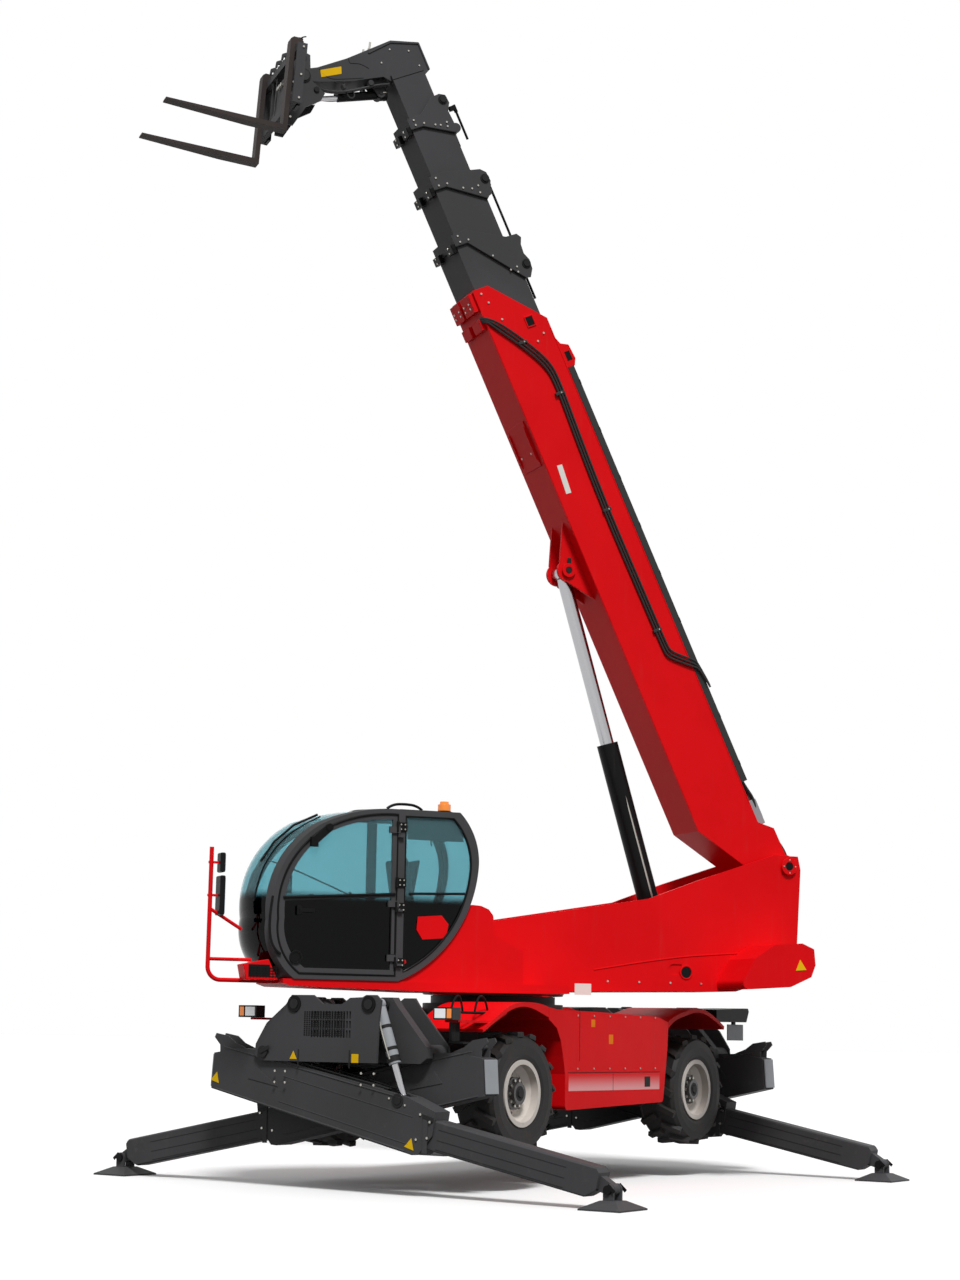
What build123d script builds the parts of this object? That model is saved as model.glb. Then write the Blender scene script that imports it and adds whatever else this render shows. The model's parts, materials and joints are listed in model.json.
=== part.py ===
from build123d import *
from math import cos, pi, radians, sin
import os

os.makedirs("parts", exist_ok=True)

# Rotating telehandler, standing on its four outriggers.
# Origin: slew axis at ground level; +X to the chassis front, +Y left, +Z up; mm.

# Fits
seat_gap = 0.3          # running gap where a piece is carried
side_gap = 6            # free gap beside a sliding beam

# Chassis
axle_front_x = 1270
axle_rear_x = -2070
axle_z = 880
wheelbase_mid = (axle_front_x + axle_rear_x) / 2
frame_half = 420
frame_bottom = 1060
frame_belly = 820
frame_top = 1500
ring_z = 1660
body_outer = 1200
body_wall = 20
engine_wide = 560
ring_top = 1780
base_radius = 730
body_front = 555
lamp_x = 2400
lamp_y = body_outer - 90
lamp_z = 1585
arm_z = lamp_z - 65 - seat_gap

# Wheels
tyre_radius = 560
tyre_width = 430
bead_radius = 282
lug_height = 38
lug_count = 16
wheel_y = 985
rim_outer = 305
kingpin_y = 780
kingpin_radius = 28
yoke_y = 650
yoke_reach = 198
hub_face = 45
knuckle_radius = 70
knuckle_half = 155

# Outriggers, in each leg's own plane: s along the beam, t square to it
leg_slope = 11.1
hinge_y = 770
hinge_z = 1220
ear_y = 420
ear_z = 1660
leg_inner = 870         # from the axle to the inner leg's plane
leg_pitch = 350
housing_half = 112
beam_half = 92
beam_mid_t = -313
beam_depth = 265
beam_start = 1100
beam_end = 3660
foot_s = 3765
foot_z = 166
cyl_pin_s = 1551
cyl_pin_t = -100
pad_x = 460
pad_y = 400
pad_edge = 14
leg_barrel = 56
leg_barrel_end = 560
leg_rod = 34
leg_pin = 38
cyl_pin = 20
plate_thick = 25
plate_mid_thick = 100
plate_gap = 13

# Turret, turned on the chassis
turret_angle = -34
ring_radius = 620
cheek_out = 450
cheek_in = 408
floor_z = 1880
pivot_u = -3120
pivot_z = 3180
lift_foot_u = -1930
lift_foot_z = 2120

# Boom, lifted
boom_angle = 64.3
boom_half = 280
boom_top = -30
boom_bottom = -720
boom_wall = 14
lift_pin_s = 3730
lift_pin_t = -880
coupler_s = 9450
coupler_t = -1500
fork_tilt = 3.6

ear_in = 118
ear_thick = 30
lift_foot_pin = 50
pivot_pin = 65
head_start = 9150
head_half = 140
coupler_half = 150
coupler_pin = 42
tilt_pin_s = 9080
tilt_pin_t = -700
tilt_eye_s = 9230
tilt_eye_t = -1412
fork_low = -775
fork_length = 1200
fork_thick = 50
fork_width = 125
fork_left = 450
fork_right = 530

# Cab
cab_left = 1200
cab_right = 345
cab_wall = 40
glass_depth = 12
glass_thick = 8
door_thick = 34
roof_z = 3475
belt_z = 2638
belt_width = 34
belt_slope = 3.8
door_hinge_u = 1478
door_hinge_v = cab_left + 16
hinge_heights = (2080, 2580, 3270)
guard_v = 950
guard_out = 3205
beacon_u = 940

turn = radians(turret_angle)
rise = radians(boom_angle)
level = radians(fork_tilt)
ahead = Vector(cos(turn), sin(turn), 0)
left = Vector(-sin(turn), cos(turn), 0)
along = ahead * cos(rise) + Vector(0, 0, sin(rise))


def turret_plane(v=0):
    """Upright plane at v left of the slew axis: x ahead, y up."""
    return Plane(origin=left * v, x_dir=ahead, z_dir=left * -1)


def boom_plane(v=0):
    """Plane at v left of the boom: x along the boom, y square above it."""
    pivot = ahead * pivot_u + Vector(0, 0, pivot_z) + left * v
    return Plane(origin=pivot, x_dir=along, z_dir=left * -1)


coupler = boom_plane().from_local_coords(Vector(coupler_s, coupler_t, 0))
fork_dir = ahead * cos(level) + Vector(0, 0, sin(level))


def coupler_plane(v=0):
    """Plane at v left of the coupler pin: x along the forks, y up the mast."""
    return Plane(origin=coupler + left * v, x_dir=fork_dir, z_dir=left * -1)


def keep(build, name):
    build.part.label = name
    export_step(build.part, f"parts/{name}.step")


# ---------------------------------------------------------------- chassis
# cross plates that carry the legs: distance from the wheelbase middle, thickness
inner_x = axle_front_x + leg_inner - wheelbase_mid
outer_x = inner_x + leg_pitch
plate_reach = housing_half + plate_gap
plates = [
    (inner_x - plate_reach - plate_thick / 2, plate_thick),
    ((inner_x + outer_x) / 2, plate_mid_thick),
    (outer_x + plate_reach + plate_thick / 2, plate_thick),
]
pin_bays = [inner_x, outer_x]
# half outline of the inner plates; the outer plate ends beside its own leg's cylinder
plate_form = [
    (0, 1140), (800, 1140), (870, 1190), (860, 1290), (540, 1640), (480, 1722), (360, 1722),
    (235, 1640), (0, 1640),
]
outer_plate_form = [
    (-800, 1140), (-870, 1190), (-862, 1290), (-740, 1480), (-520, 1650), (-455, 1735), (-210, 1735),
    (-95, 1655), (120, 1655), (210, 1712), (350, 1718), (390, 1738), (500, 1738), (555, 1690),
    (530, 1500), (520, 1140),
]

with BuildPart() as chassis_frame:
    with BuildSketch(Plane.XZ):
        with BuildLine():
            ends = plates[0][0]
            Polyline(
                (wheelbase_mid + ends, frame_bottom + 60),
                (wheelbase_mid + ends, frame_top),
                (wheelbase_mid - ends, frame_top),
                (wheelbase_mid - ends, frame_bottom + 60),
                (axle_rear_x - 250, frame_bottom),
                (axle_rear_x + 300, frame_bottom),
                (axle_rear_x + 650, frame_belly),
                (axle_front_x - 650, frame_belly),
                (axle_front_x - 300, frame_bottom),
                (axle_front_x + 250, frame_bottom),
                close=True,
            )
        make_face()
    extrude(amount=frame_half, both=True)
    with BuildSketch(Plane.XY.offset(frame_top)):
        Circle(base_radius)
    extrude(amount=ring_z - frame_top)
    for end in (1, -1):
        for reach, thick in plates:
            plate_x = wheelbase_mid + end * reach
            with BuildSketch(Plane.YZ.offset(plate_x)):
                with BuildLine():
                    if reach == plates[2][0]:
                        Polyline(*[(end * y, z) for y, z in outer_plate_form], close=True)
                    else:
                        Polyline(*plate_form, close=True)
                make_face()
                if reach != plates[2][0]:
                    mirror(about=Plane.YZ)
            extrude(amount=thick / 2, both=True)
        # spine that ties the cross plates above the legs
        first = plates[0][0]
        last = plates[2][0]
        spine = Plane.YZ.offset(wheelbase_mid + end * (first + last) / 2)
        with BuildSketch(spine):
            with Locations((0, 1470)):
                Rectangle(520, 280)
        extrude(amount=(last - first) / 2, both=True)
        for bay, side in zip(pin_bays, (-end, end)):
            pin_x = wheelbase_mid + end * bay
            half = housing_half + plate_gap + 15
            with BuildSketch(Plane.YZ.offset(pin_x)):
                with Locations((-side * hinge_y, hinge_z)):
                    Circle(leg_pin)
                with Locations((side * ear_y, ear_z)):
                    Circle(cyl_pin + 4)
            extrude(amount=half, both=True)
    # pads that rest on the axles
    for axle_x in (axle_front_x, axle_rear_x):
        with Locations((axle_x, 0, frame_bottom - 20)):
            Box(300, 520, 40)
    # grille opening in the front plate
    front_face = wheelbase_mid + plates[2][0]
    with BuildSketch(Plane.YZ.offset(front_face)):
        with Locations((0, 1475)):
            with GridLocations(33, 84, 14, 3):
                Rectangle(18, 66)
    extrude(amount=plate_thick * 3, both=True, mode=Mode.SUBTRACT)
keep(chassis_frame, "chassis_frame")

arch_front = 860
arch_rear = -1440
body_form = [
    (body_front, 715), (body_front + 5, 1050), (body_front + 45, 1220), (body_front + 85, 1360),
    (body_front + 165, 1480), (arch_front - 4, 1556), (arch_front - 4, 1668), (700, 1650), (0, 1640),
    (-1220, 1610), (arch_rear, 1560), (-1420, 1300), (-1330, 765),
]
with BuildPart() as side_bodies:
    for side in (1, -1):
        inner = frame_half + seat_gap
        with BuildSketch(Plane.XZ.offset(-side * inner)):
            with BuildLine():
                Polyline(*body_form, close=True)
            make_face()
            fillet(vertices().sort_by(Axis.Y)[:2], 45)
        extrude(amount=-side * (body_outer - inner))
    with Locations((0, 0, frame_top)):
        Cylinder(base_radius + seat_gap, 400, mode=Mode.SUBTRACT)
    # engine bay on the right
    with Locations((-480, -(frame_half + body_outer) / 2, 1180)):
        Box(1240, body_outer - frame_half - 2 * body_wall, 680, mode=Mode.SUBTRACT)
keep(side_bodies, "side_bodies")

with BuildPart() as engine_block:
    with Locations((-480, -(frame_half + body_outer) / 2, 840 + 300)):
        Box(1000, engine_wide, 600)
keep(engine_block, "engine_block")

# arches over the wheels: upper line, then the underside back to the body
arches = [
    (
        [(arch_front, 1670), (970, 1692), (1230, 1708), (1490, 1678), (1740, 1572), (1975, 1455)],
        [(1962, 1428), (1730, 1540), (1480, 1640), (1230, 1664), (1060, 1632), (arch_front, 1572)],
    ),
    (
        [(arch_rear - 4, 1566), (-1600, 1628), (-1780, 1668), (-2080, 1712), (-2350, 1660), (-2660, 1530)],
        [(-2652, 1498), (-2340, 1622), (-2080, 1668), (-1790, 1626), (-1600, 1580), (arch_rear - 4, 1500)],
    ),
]
with BuildPart() as fenders:
    for side in (1, -1):
        for over, under in arches:
            with BuildSketch(Plane.XZ.offset(-side * (frame_half + seat_gap))):
                with BuildLine():
                    Spline(*over)
                    Line(over[-1], under[0])
                    Spline(*under)
                    Line(under[-1], over[0])
                make_face()
            extrude(amount=-side * (body_outer - frame_half - seat_gap))
        # arm out to the headlamp
        with BuildSketch(Plane.XZ.offset(-side * (lamp_y - 70))):
            with BuildLine():
                line = Polyline((1560, 1600), (1760, arm_z), (lamp_x - 70, arm_z))
                offset(line, amount=10, side=Side.BOTH)
            make_face()
        extrude(amount=-side * 140)
    with Locations((0, 0, ring_z)):
        Cylinder(base_radius + seat_gap, 400, mode=Mode.SUBTRACT)
keep(fenders, "fenders")

with BuildPart() as headlamps:
    for side in (1, -1):
        with Locations((lamp_x, side * lamp_y, lamp_z)):
            lamp = Box(150, 210, 110)
        fillet(lamp.edges().filter_by(Axis.Z).sort_by(Axis.X)[:2], 30)
        with Locations((lamp_x + 75, side * lamp_y, lamp_z)):
            Box(16, 180, 82, mode=Mode.SUBTRACT)
keep(headlamps, "headlamps")

with BuildPart() as axles:
    for axle_x in (axle_front_x, axle_rear_x):
        middle = Plane(origin=(axle_x, 0, axle_z), z_dir=(0, 1, 0))
        with BuildSketch(middle):
            Circle(108)
        extrude(amount=yoke_y, both=True)
        with BuildSketch(middle):
            Circle(137)
        extrude(amount=190, both=True)
        # saddle under the frame
        saddle_top = frame_bottom - 40
        with Locations((axle_x, 0, (axle_z + saddle_top) / 2)):
            Box(240, 420, saddle_top - axle_z)
        for side in (1, -1):
            with Locations((axle_x, side * (yoke_y - 20), axle_z)):
                Box(140, 40, 2 * yoke_reach)
            for way in (1, -1):
                arm = (yoke_reach + knuckle_half + seat_gap) / 2
                with Locations((axle_x, side * (yoke_y + kingpin_y + 60) / 2, axle_z + way * arm)):
                    Box(120, kingpin_y + 60 - yoke_y, yoke_reach - knuckle_half - seat_gap)
            with Locations((axle_x, side * kingpin_y, axle_z)):
                Cylinder(kingpin_radius + seat_gap, 3 * yoke_reach, mode=Mode.SUBTRACT)
keep(axles, "axles")

hub_gap_y = wheel_y + hub_face - seat_gap
with BuildPart() as knuckle_form:
    Cylinder(knuckle_radius, 2 * knuckle_half)
    Cylinder(kingpin_radius, 2 * yoke_reach + 20)
    with BuildSketch(Plane(origin=(0, 0, 0), z_dir=(0, 1, 0))):
        Circle(88)
    extrude(amount=hub_gap_y - kingpin_y)
    with BuildSketch(Plane(origin=(0, hub_gap_y - kingpin_y, 0), z_dir=(0, -1, 0))):
        Circle(130)
    extrude(amount=26)

# wheel forms lie with their axis up: outer side up
with BuildPart() as rim_form:
    with BuildSketch(Plane.XZ):
        with BuildLine():
            barrel = bead_radius - 0.5
            Polyline(
                (0, hub_face), (205, hub_face), (256, 92), (256, -200), (rim_outer, -200),
                (rim_outer, -186), (barrel, -186), (barrel, 186), (rim_outer, 186),
                (rim_outer, 200), (262, 200), (256, 126), (200, 76), (152, 76), (148, 116),
                (112, 124), (100, 168), (0, 168), close=True,
            )
        make_face()
    revolve(axis=Axis.Z)
    with PolarLocations(182, 8):
        Cylinder(20, 400, mode=Mode.SUBTRACT)

with BuildPart() as tyre_form:
    with BuildSketch(Plane.XZ):
        with BuildLine():
            half = tyre_width / 2
            carcass = tyre_radius - lug_height
            Polyline(
                (bead_radius, -185), (rim_outer + 2, -185), (350, -half + 8), (430, -half),
                (carcass - 22, -half + 8), (carcass, -half + 45), (carcass, half - 45),
                (carcass - 22, half - 8), (430, half), (350, half - 8), (rim_outer + 2, 185),
                (bead_radius, 185), close=True,
            )
        make_face()
    revolve(axis=Axis.Z)
    lug_planes = []
    for row, shift in ((1, 0), (-1, 0.5)):
        for number in range(lug_count):
            angle = 2 * pi * (number + shift) / lug_count
            out = Vector(cos(angle), sin(angle), 0)
            round_dir = Vector(-sin(angle), cos(angle), 0)
            slant = radians(90 - row * 28)
            lug_dir = round_dir * cos(slant) + Vector(0, 0, 1) * sin(slant)
            place = out * (carcass - 12) + Vector(0, 0, row * 108)
            lug_planes.append(Plane(origin=place, x_dir=lug_dir, z_dir=out))
    with BuildSketch(*lug_planes):
        Rectangle(216, 72)
    extrude(amount=lug_height + 8, taper=8)

corners = [
    ("front_left", axle_front_x, 1), ("front_right", axle_front_x, -1),
    ("rear_left", axle_rear_x, 1), ("rear_right", axle_rear_x, -1),
]
for corner, axle_x, side in corners:
    with BuildPart() as knuckle:
        with Locations(Plane(origin=(axle_x, side * kingpin_y, axle_z), x_dir=(side, 0, 0))):
            add(knuckle_form.part)
    keep(knuckle, f"knuckle_{corner}")
    wheel_plane = Plane(origin=(axle_x, side * wheel_y, axle_z), x_dir=(1, 0, 0), z_dir=(0, side, 0))
    with BuildPart() as rim:
        with Locations(wheel_plane):
            add(rim_form.part)
    keep(rim, f"rim_{corner}")
    with BuildPart() as tyre:
        with Locations(wheel_plane):
            add(tyre_form.part)
    keep(tyre, f"tyre_{corner}")

with BuildPart() as slew_ring:
    with BuildSketch(Plane.XZ):
        with BuildLine():
            Polyline(
                (ring_radius - 150, ring_z), (ring_radius + 80, ring_z),
                (ring_radius + 80, ring_z + 45), (ring_radius, ring_z + 45),
                (ring_radius, ring_top), (ring_radius - 150, ring_top), close=True,
            )
        make_face()
    revolve(axis=Axis.Z)
keep(slew_ring, "slew_ring")

# ---------------------------------------------------------------- outriggers
slope = radians(leg_slope)
foot_t = (foot_z - hinge_z + foot_s * sin(slope)) / cos(slope)
beam_low = beam_mid_t - beam_depth / 2
beam_high = beam_mid_t + beam_depth / 2
mouth_s = 1880
foot_pin = 24
tongue_half = 45

# corner, bay in the cross plates
legs = [
    ("front_left", 1, 1, outer_x), ("front_right", 1, -1, inner_x),
    ("rear_left", -1, 1, inner_x), ("rear_right", -1, -1, outer_x),
]
for corner, end, side, bay in legs:
    leg_x = wheelbase_mid + end * bay
    leg = Plane(
        origin=(leg_x, -side * hinge_y, hinge_z),
        x_dir=(0, side * cos(slope), -sin(slope)), z_dir=(side, 0, 0),
    )
    with BuildPart() as housing:
        with BuildSketch(leg):
            with BuildLine():
                Polyline(
                    (-600, -138), (-560, -462), (mouth_s - 80, beam_low - 76), (mouth_s - 20, beam_low - 60),
                    (mouth_s + 95, beam_mid_t), (mouth_s + 88, -107), (1645, -48), (308, -36),
                    (90, 0), (-90, 0), (-330, -40), close=True,
                )
            make_face()
            Circle(88)
        extrude(amount=housing_half, both=True)
        with BuildSketch(leg):
            with Locations(((mouth_s - 90 - 540) / 2, beam_mid_t)):
                Rectangle(mouth_s - 90 + 540, beam_depth + 2 * side_gap)
        extrude(amount=beam_half + side_gap, both=True, mode=Mode.SUBTRACT)
        with BuildSketch(leg):
            with Locations((mouth_s, beam_mid_t)):
                Rectangle(400, beam_depth + 2 * seat_gap)
        extrude(amount=beam_half + side_gap, both=True, mode=Mode.SUBTRACT)
        # slot where the cylinder drops in
        with BuildSketch(leg):
            with BuildLine():
                Polyline(
                    (1180, 60), (1380, -162), (1640, -162), (1640, 60), close=True,
                )
            make_face()
        extrude(amount=62, both=True, mode=Mode.SUBTRACT)
        with BuildSketch(leg):
            Circle(leg_pin + seat_gap)
        extrude(amount=2 * housing_half, both=True, mode=Mode.SUBTRACT)
        with BuildSketch(leg):
            with Locations((cyl_pin_s, cyl_pin_t)):
                Circle(cyl_pin)
        extrude(amount=housing_half + 8, both=True)
    keep(housing, f"leg_housing_{corner}")

    with BuildPart() as beam:
        with BuildSketch(leg):
            with BuildLine():
                Polyline(
                    (beam_start, beam_low), (beam_end - 110, beam_low), (beam_end, beam_mid_t - 40),
                    (beam_end, beam_high - 40), (beam_end - 40, beam_high), (beam_start, beam_high),
                    close=True,
                )
            make_face()
        extrude(amount=beam_half, both=True)
        chamfer(edges().filter_by(lambda e: e.length > 2000), 14)
        with BuildSketch(leg):
            with BuildLine():
                Polyline(
                    (beam_end - 20, beam_mid_t - 60), (foot_s, foot_t - 48),
                    (foot_s, foot_t + 48), (beam_end - 20, beam_high - 60), close=True,
                )
            make_face()
            with Locations((foot_s, foot_t)):
                Circle(48)
        extrude(amount=tongue_half, both=True)
        with BuildSketch(leg):
            with Locations((foot_s, foot_t)):
                Circle(foot_pin + seat_gap)
        extrude(amount=2 * tongue_half, both=True, mode=Mode.SUBTRACT)
    keep(beam, f"leg_beam_{corner}")

    pin_at = leg.from_local_coords(Vector(foot_s, foot_t, 0))
    with BuildPart() as foot:
        with BuildSketch(Plane(origin=(leg_x, pin_at.Y, 0))):
            Rectangle(pad_x, pad_y)
        extrude(amount=pad_edge)
        with BuildSketch(Plane(origin=(leg_x, pin_at.Y, pad_edge))):
            Rectangle(pad_x, pad_y)
        with BuildSketch(Plane(origin=(leg_x, pin_at.Y, 78))):
            Rectangle(176, 150)
        loft()
        for way in (1, -1):
            fork_at = Vector(leg_x + way * (tongue_half + 8), pin_at.Y, 0)
            with BuildSketch(Plane(origin=fork_at, x_dir=(0, 1, 0), z_dir=(1, 0, 0))):
                with Locations((0, (foot_z + 40) / 2)):
                    Rectangle(96, foot_z - 40)
                with Locations((0, foot_z)):
                    Circle(48)
            extrude(amount=way * 26)
        with BuildSketch(Plane(origin=(leg_x, pin_at.Y, foot_z), z_dir=(1, 0, 0))):
            Circle(foot_pin)
        extrude(amount=tongue_half + 20, both=True)
    keep(foot, f"leg_foot_{corner}")

    top_pin = Vector(leg_x, side * ear_y, ear_z)
    low_pin = leg.from_local_coords(Vector(cyl_pin_s, cyl_pin_t, 0))
    reach = (low_pin - top_pin).length
    stay = Plane(origin=top_pin, x_dir=low_pin - top_pin, z_dir=(1, 0, 0))
    down = Plane(origin=top_pin, x_dir=(1, 0, 0), z_dir=low_pin - top_pin)
    with BuildPart() as barrel:
        with BuildSketch(stay):
            Circle(50)
        extrude(amount=40, both=True)
        with BuildSketch(down.offset(40)):
            Circle(leg_barrel)
        extrude(amount=leg_barrel_end - 40)
        with BuildSketch(down.offset(70)):
            Circle(leg_rod + seat_gap)
        extrude(amount=leg_barrel_end, mode=Mode.SUBTRACT)
        with BuildSketch(stay):
            Circle(cyl_pin + 4 + seat_gap)
        extrude(amount=60, both=True, mode=Mode.SUBTRACT)
    keep(barrel, f"leg_barrel_{corner}")
    with BuildPart() as rod:
        with BuildSketch(down.offset(345)):
            Circle(leg_rod)
        extrude(amount=reach - 345 - 38)
        with BuildSketch(stay):
            with Locations((reach, 0)):
                Circle(50)
        extrude(amount=42, both=True)
        with BuildSketch(stay):
            with Locations((reach, 0)):
                Circle(cyl_pin + 13)
        extrude(amount=60, both=True, mode=Mode.SUBTRACT)
    keep(rod, f"leg_rod_{corner}")

# ---------------------------------------------------------------- turret
deck_top = 1880
cheek_mid = (cheek_in + cheek_out) / 2
# cab sections: bottom, nose, brow, roof front, then rear; each pair is a line or an arc's middle and end
cab_middle = (cab_left + cab_right) / 2
pillar_form = [
    ((1450, deck_top), (2460, deck_top)), ((2630, 2070), (2690, 2400)), ((2592, 2920), (2240, 3298)),
    ((1880, 3434), (1480, roof_z)),
]
nose_form = [
    ((1450, deck_top), (2620, deck_top)), ((2800, 2060), (2865, 2430)), ((2768, 2985), (2400, 3348)),
    ((1960, 3462), (1480, roof_z)),
]
rear_form = [((860, roof_z), (708, 3250)), ((665, 2930), (850, 2385))]
cab_centre = Vector(1700, 2680)
cab_reach = roof_z - cab_centre.Y


def cab_outline(form, inset):
    """Closed side outline on the XY plane, drawn in evenly by an inset."""
    fit = 1 - inset / cab_reach
    points = [[cab_centre + (Vector(*p) - cab_centre) * fit for p in pair] for pair in form + rear_form]
    (start, front), nose, brow, roof, (roof_rear, shoulder), (back, sill) = points
    with BuildSketch() as outline:
        with BuildLine():
            Line(start, front)
            ThreePointArc(front, nose[0], nose[1])
            ThreePointArc(nose[1], brow[0], brow[1])
            ThreePointArc(brow[1], roof[0], roof[1])
            Line(roof[1], roof_rear)
            ThreePointArc(roof_rear, shoulder, back)
            ThreePointArc(back, sill, start)
        make_face()
    return outline.sketch


with BuildPart() as turret_frame:
    for side in (1, -1):
        with BuildSketch(turret_plane(side * cheek_mid)):
            with BuildLine():
                Polyline(
                    (210, 1850), (210, 2500), (-1520, 2790), (-2090, 3000), (-2960, 3290),
                    (-3240, 3290), (-3270, 3150), (-3220, 2340), (-3170, 2080), (-2500, 1880),
                    (-540, 1835), close=True,
                )
            make_face()
        extrude(amount=(cheek_out - cheek_in) / 2, both=True)
    # side pocket in the left cheek
    with BuildSketch(turret_plane(cheek_out)):
        with Locations((-1830, 2085)):
            SlotOverall(190, 110)
    extrude(amount=12, both=True, mode=Mode.SUBTRACT)
    # floor, front wall and rear wall between the cheeks
    with BuildSketch(turret_plane()):
        with BuildLine():
            Polyline(
                (210, 1850), (210, 2120), (180, 2120), (180, floor_z), (-2500, floor_z + 30),
                (-3140, 2100), (-3190, 2340), (-3215, 2760), (-3245, 2760), (-3220, 2340),
                (-3170, 2080), (-2500, 1880), (-540, 1835), close=True,
            )
        make_face()
    extrude(amount=cheek_in, both=True)
    # base that turns on the ring
    with BuildSketch(Plane.XY.offset(ring_top + seat_gap)):
        Circle(ring_radius - 20)
    extrude(amount=floor_z - ring_top - seat_gap)
    # platform under the cab, and the hood behind it
    with BuildSketch(turret_plane(cab_right)):
        with BuildLine():
            Polyline(
                (-300, 1800), (1100, 1790), (2480, 1815), (2560, 1840), (2560, deck_top),
                (-300, deck_top), close=True,
            )
        make_face()
    extrude(amount=-(cab_left - 15 - cab_right))
    with BuildSketch(turret_plane(cheek_in)):
        with BuildLine():
            Polyline(
                (180, deck_top), (1440, deck_top), (1000, 2580), (705, 2612), (620, 2606), (540, 2575),
                (495, 2520), (480, 2420), (480, 2340), (325, 2258), (180, 2190), close=True,
            )
        make_face()
        add(cab_outline(pillar_form, -6 * seat_gap), mode=Mode.SUBTRACT)
    extrude(amount=-(cab_left - 30 - cheek_in))
    # lift cylinder foot pin and boom pivot pin
    for u, z, radius, half in (
        (lift_foot_u, lift_foot_z, lift_foot_pin, cheek_out),
        (pivot_u, pivot_z, pivot_pin, cheek_out + 25),
    ):
        with BuildSketch(turret_plane()):
            with Locations((u, z)):
                Circle(radius)
        extrude(amount=half, both=True)
keep(turret_frame, "turret_frame")

with BuildPart() as counterweight:
    for side in (1, -1):
        with BuildSketch(turret_plane(side * (cheek_out + seat_gap))):
            with BuildLine():
                Polyline(
                    (-2230, 1885), (-2820, 1925), (-3060, 2030), (-3110, 2150), (-3095, 2310),
                    (-2960, 2365), (-2640, 2340), (-2420, 2200), close=True,
                )
            make_face()
        extrude(amount=-side * 560)
    fillet(edges().filter_by(lambda e: abs(e.tangent_at(0).dot(left)) > 0.99).sort_by(Axis.Z)[:4], 60)
keep(counterweight, "counterweight")

def side_window(low_u, high_u, border):
    """Side outline, drawn in by a border and kept between two uprights."""
    with BuildSketch() as window:
        add(cab_outline(pillar_form, border))
        with Locations(((low_u + high_u) / 2, 2600)):
            Rectangle(high_u - low_u, 3000, mode=Mode.INTERSECT)
    return window.sketch


def cab_shell(inset):
    """Solid bounded by the cab's walls, drawn in by an inset all round."""
    pillar = cab_outline(pillar_form, inset)
    nose = cab_outline(nose_form, inset)
    with BuildPart() as shell:
        with BuildSketch(turret_plane(cab_right + inset)):
            add(pillar)
        with BuildSketch(turret_plane(cab_middle)):
            add(nose)
        with BuildSketch(turret_plane(cab_left - inset)):
            add(pillar)
        loft()
    return shell.part


cab_outer = cab_shell(0)
cab_inner = cab_shell(cab_wall)
glass_outer = cab_shell(glass_depth)
glass_inner = cab_shell(glass_depth + glass_thick)

pillar_u = 1450
door_gap = 5
rear_light = side_window(0, pillar_u - 45, 62)
front_light = side_window(pillar_u + 45, 4000, 62)
door_hole = side_window(pillar_u + 35, 4000, 50)
door_edge = side_window(pillar_u + 35 + door_gap, 4000, 50 + door_gap)
door_light = side_window(pillar_u + 80 + door_gap, 4000, 95 + door_gap)

with BuildPart() as window_cutter:
    for v in (cab_left + 70, cab_right + 70):
        with BuildSketch(turret_plane(v)):
            add(rear_light)
        extrude(amount=140)
    with BuildSketch(turret_plane(cab_right + 70)):
        add(front_light)
    extrude(amount=140)
    # windscreen and roof glass in one sweep, then the rear window
    with BuildSketch(turret_plane(cab_left - 55)):
        with Locations((2560, 2920)):
            Rectangle(1500, 1860)
    extrude(amount=cab_left - cab_right - 110)
    with BuildSketch(turret_plane(cab_left - 75)):
        with Locations((650, 2900)):
            Rectangle(300, 720)
    extrude(amount=cab_left - cab_right - 150)

with BuildPart() as door_cutter:
    with BuildSketch(turret_plane(cab_left + 70)):
        add(door_hole)
    extrude(amount=140)

with BuildPart() as cab_frame:
    add(cab_outer)
    add(cab_inner, mode=Mode.SUBTRACT)
    add(window_cutter.part, mode=Mode.SUBTRACT)
    add(door_cutter.part, mode=Mode.SUBTRACT)
    # door hinge pins on the pillar
    for z in hinge_heights:
        at = ahead * door_hinge_u + left * door_hinge_v
        with BuildSketch(Plane.XY.offset(z - 60).move(Location(at))):
            Circle(9)
        extrude(amount=120)
        with Locations(Plane(origin=at + Vector(0, 0, z - 50), x_dir=ahead, z_dir=(0, 0, 1))):
            Box(44, 44, 20, align=(Align.MAX, Align.CENTER, Align.CENTER))
keep(cab_frame, "cab_frame")

with BuildPart() as cab_glass:
    add(glass_outer)
    add(glass_inner, mode=Mode.SUBTRACT)
    add(window_cutter.part, mode=Mode.INTERSECT)
keep(cab_glass, "cab_glass")

with BuildPart() as door:
    with BuildSketch(turret_plane(cab_left - 4)):
        add(door_edge)
        add(door_light, mode=Mode.SUBTRACT)
    extrude(amount=door_thick)
    # belt rail
    with BuildSketch(turret_plane(cab_left - 4)):
        add(door_edge)
        with Locations((2000, belt_z)):
            Rectangle(1400, belt_width, rotation=-belt_slope, mode=Mode.INTERSECT)
    extrude(amount=door_thick)
    # knuckles on the hinge pins
    for z in hinge_heights:
        at = ahead * door_hinge_u + left * door_hinge_v
        with Locations(Plane(origin=at + Vector(0, 0, z + 10), x_dir=ahead, z_dir=(0, 0, 1))):
            Cylinder(15, 60)
        with Locations(Plane(origin=at + ahead * 12 + Vector(0, 0, z + 10), x_dir=ahead, z_dir=(0, 0, 1))):
            Box(80, 30, 60, align=(Align.MIN, Align.MAX, Align.CENTER))
        with Locations(at + Vector(0, 0, z + 10)):
            Cylinder(9 + seat_gap, 200, mode=Mode.SUBTRACT)
keep(door, "door")

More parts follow.
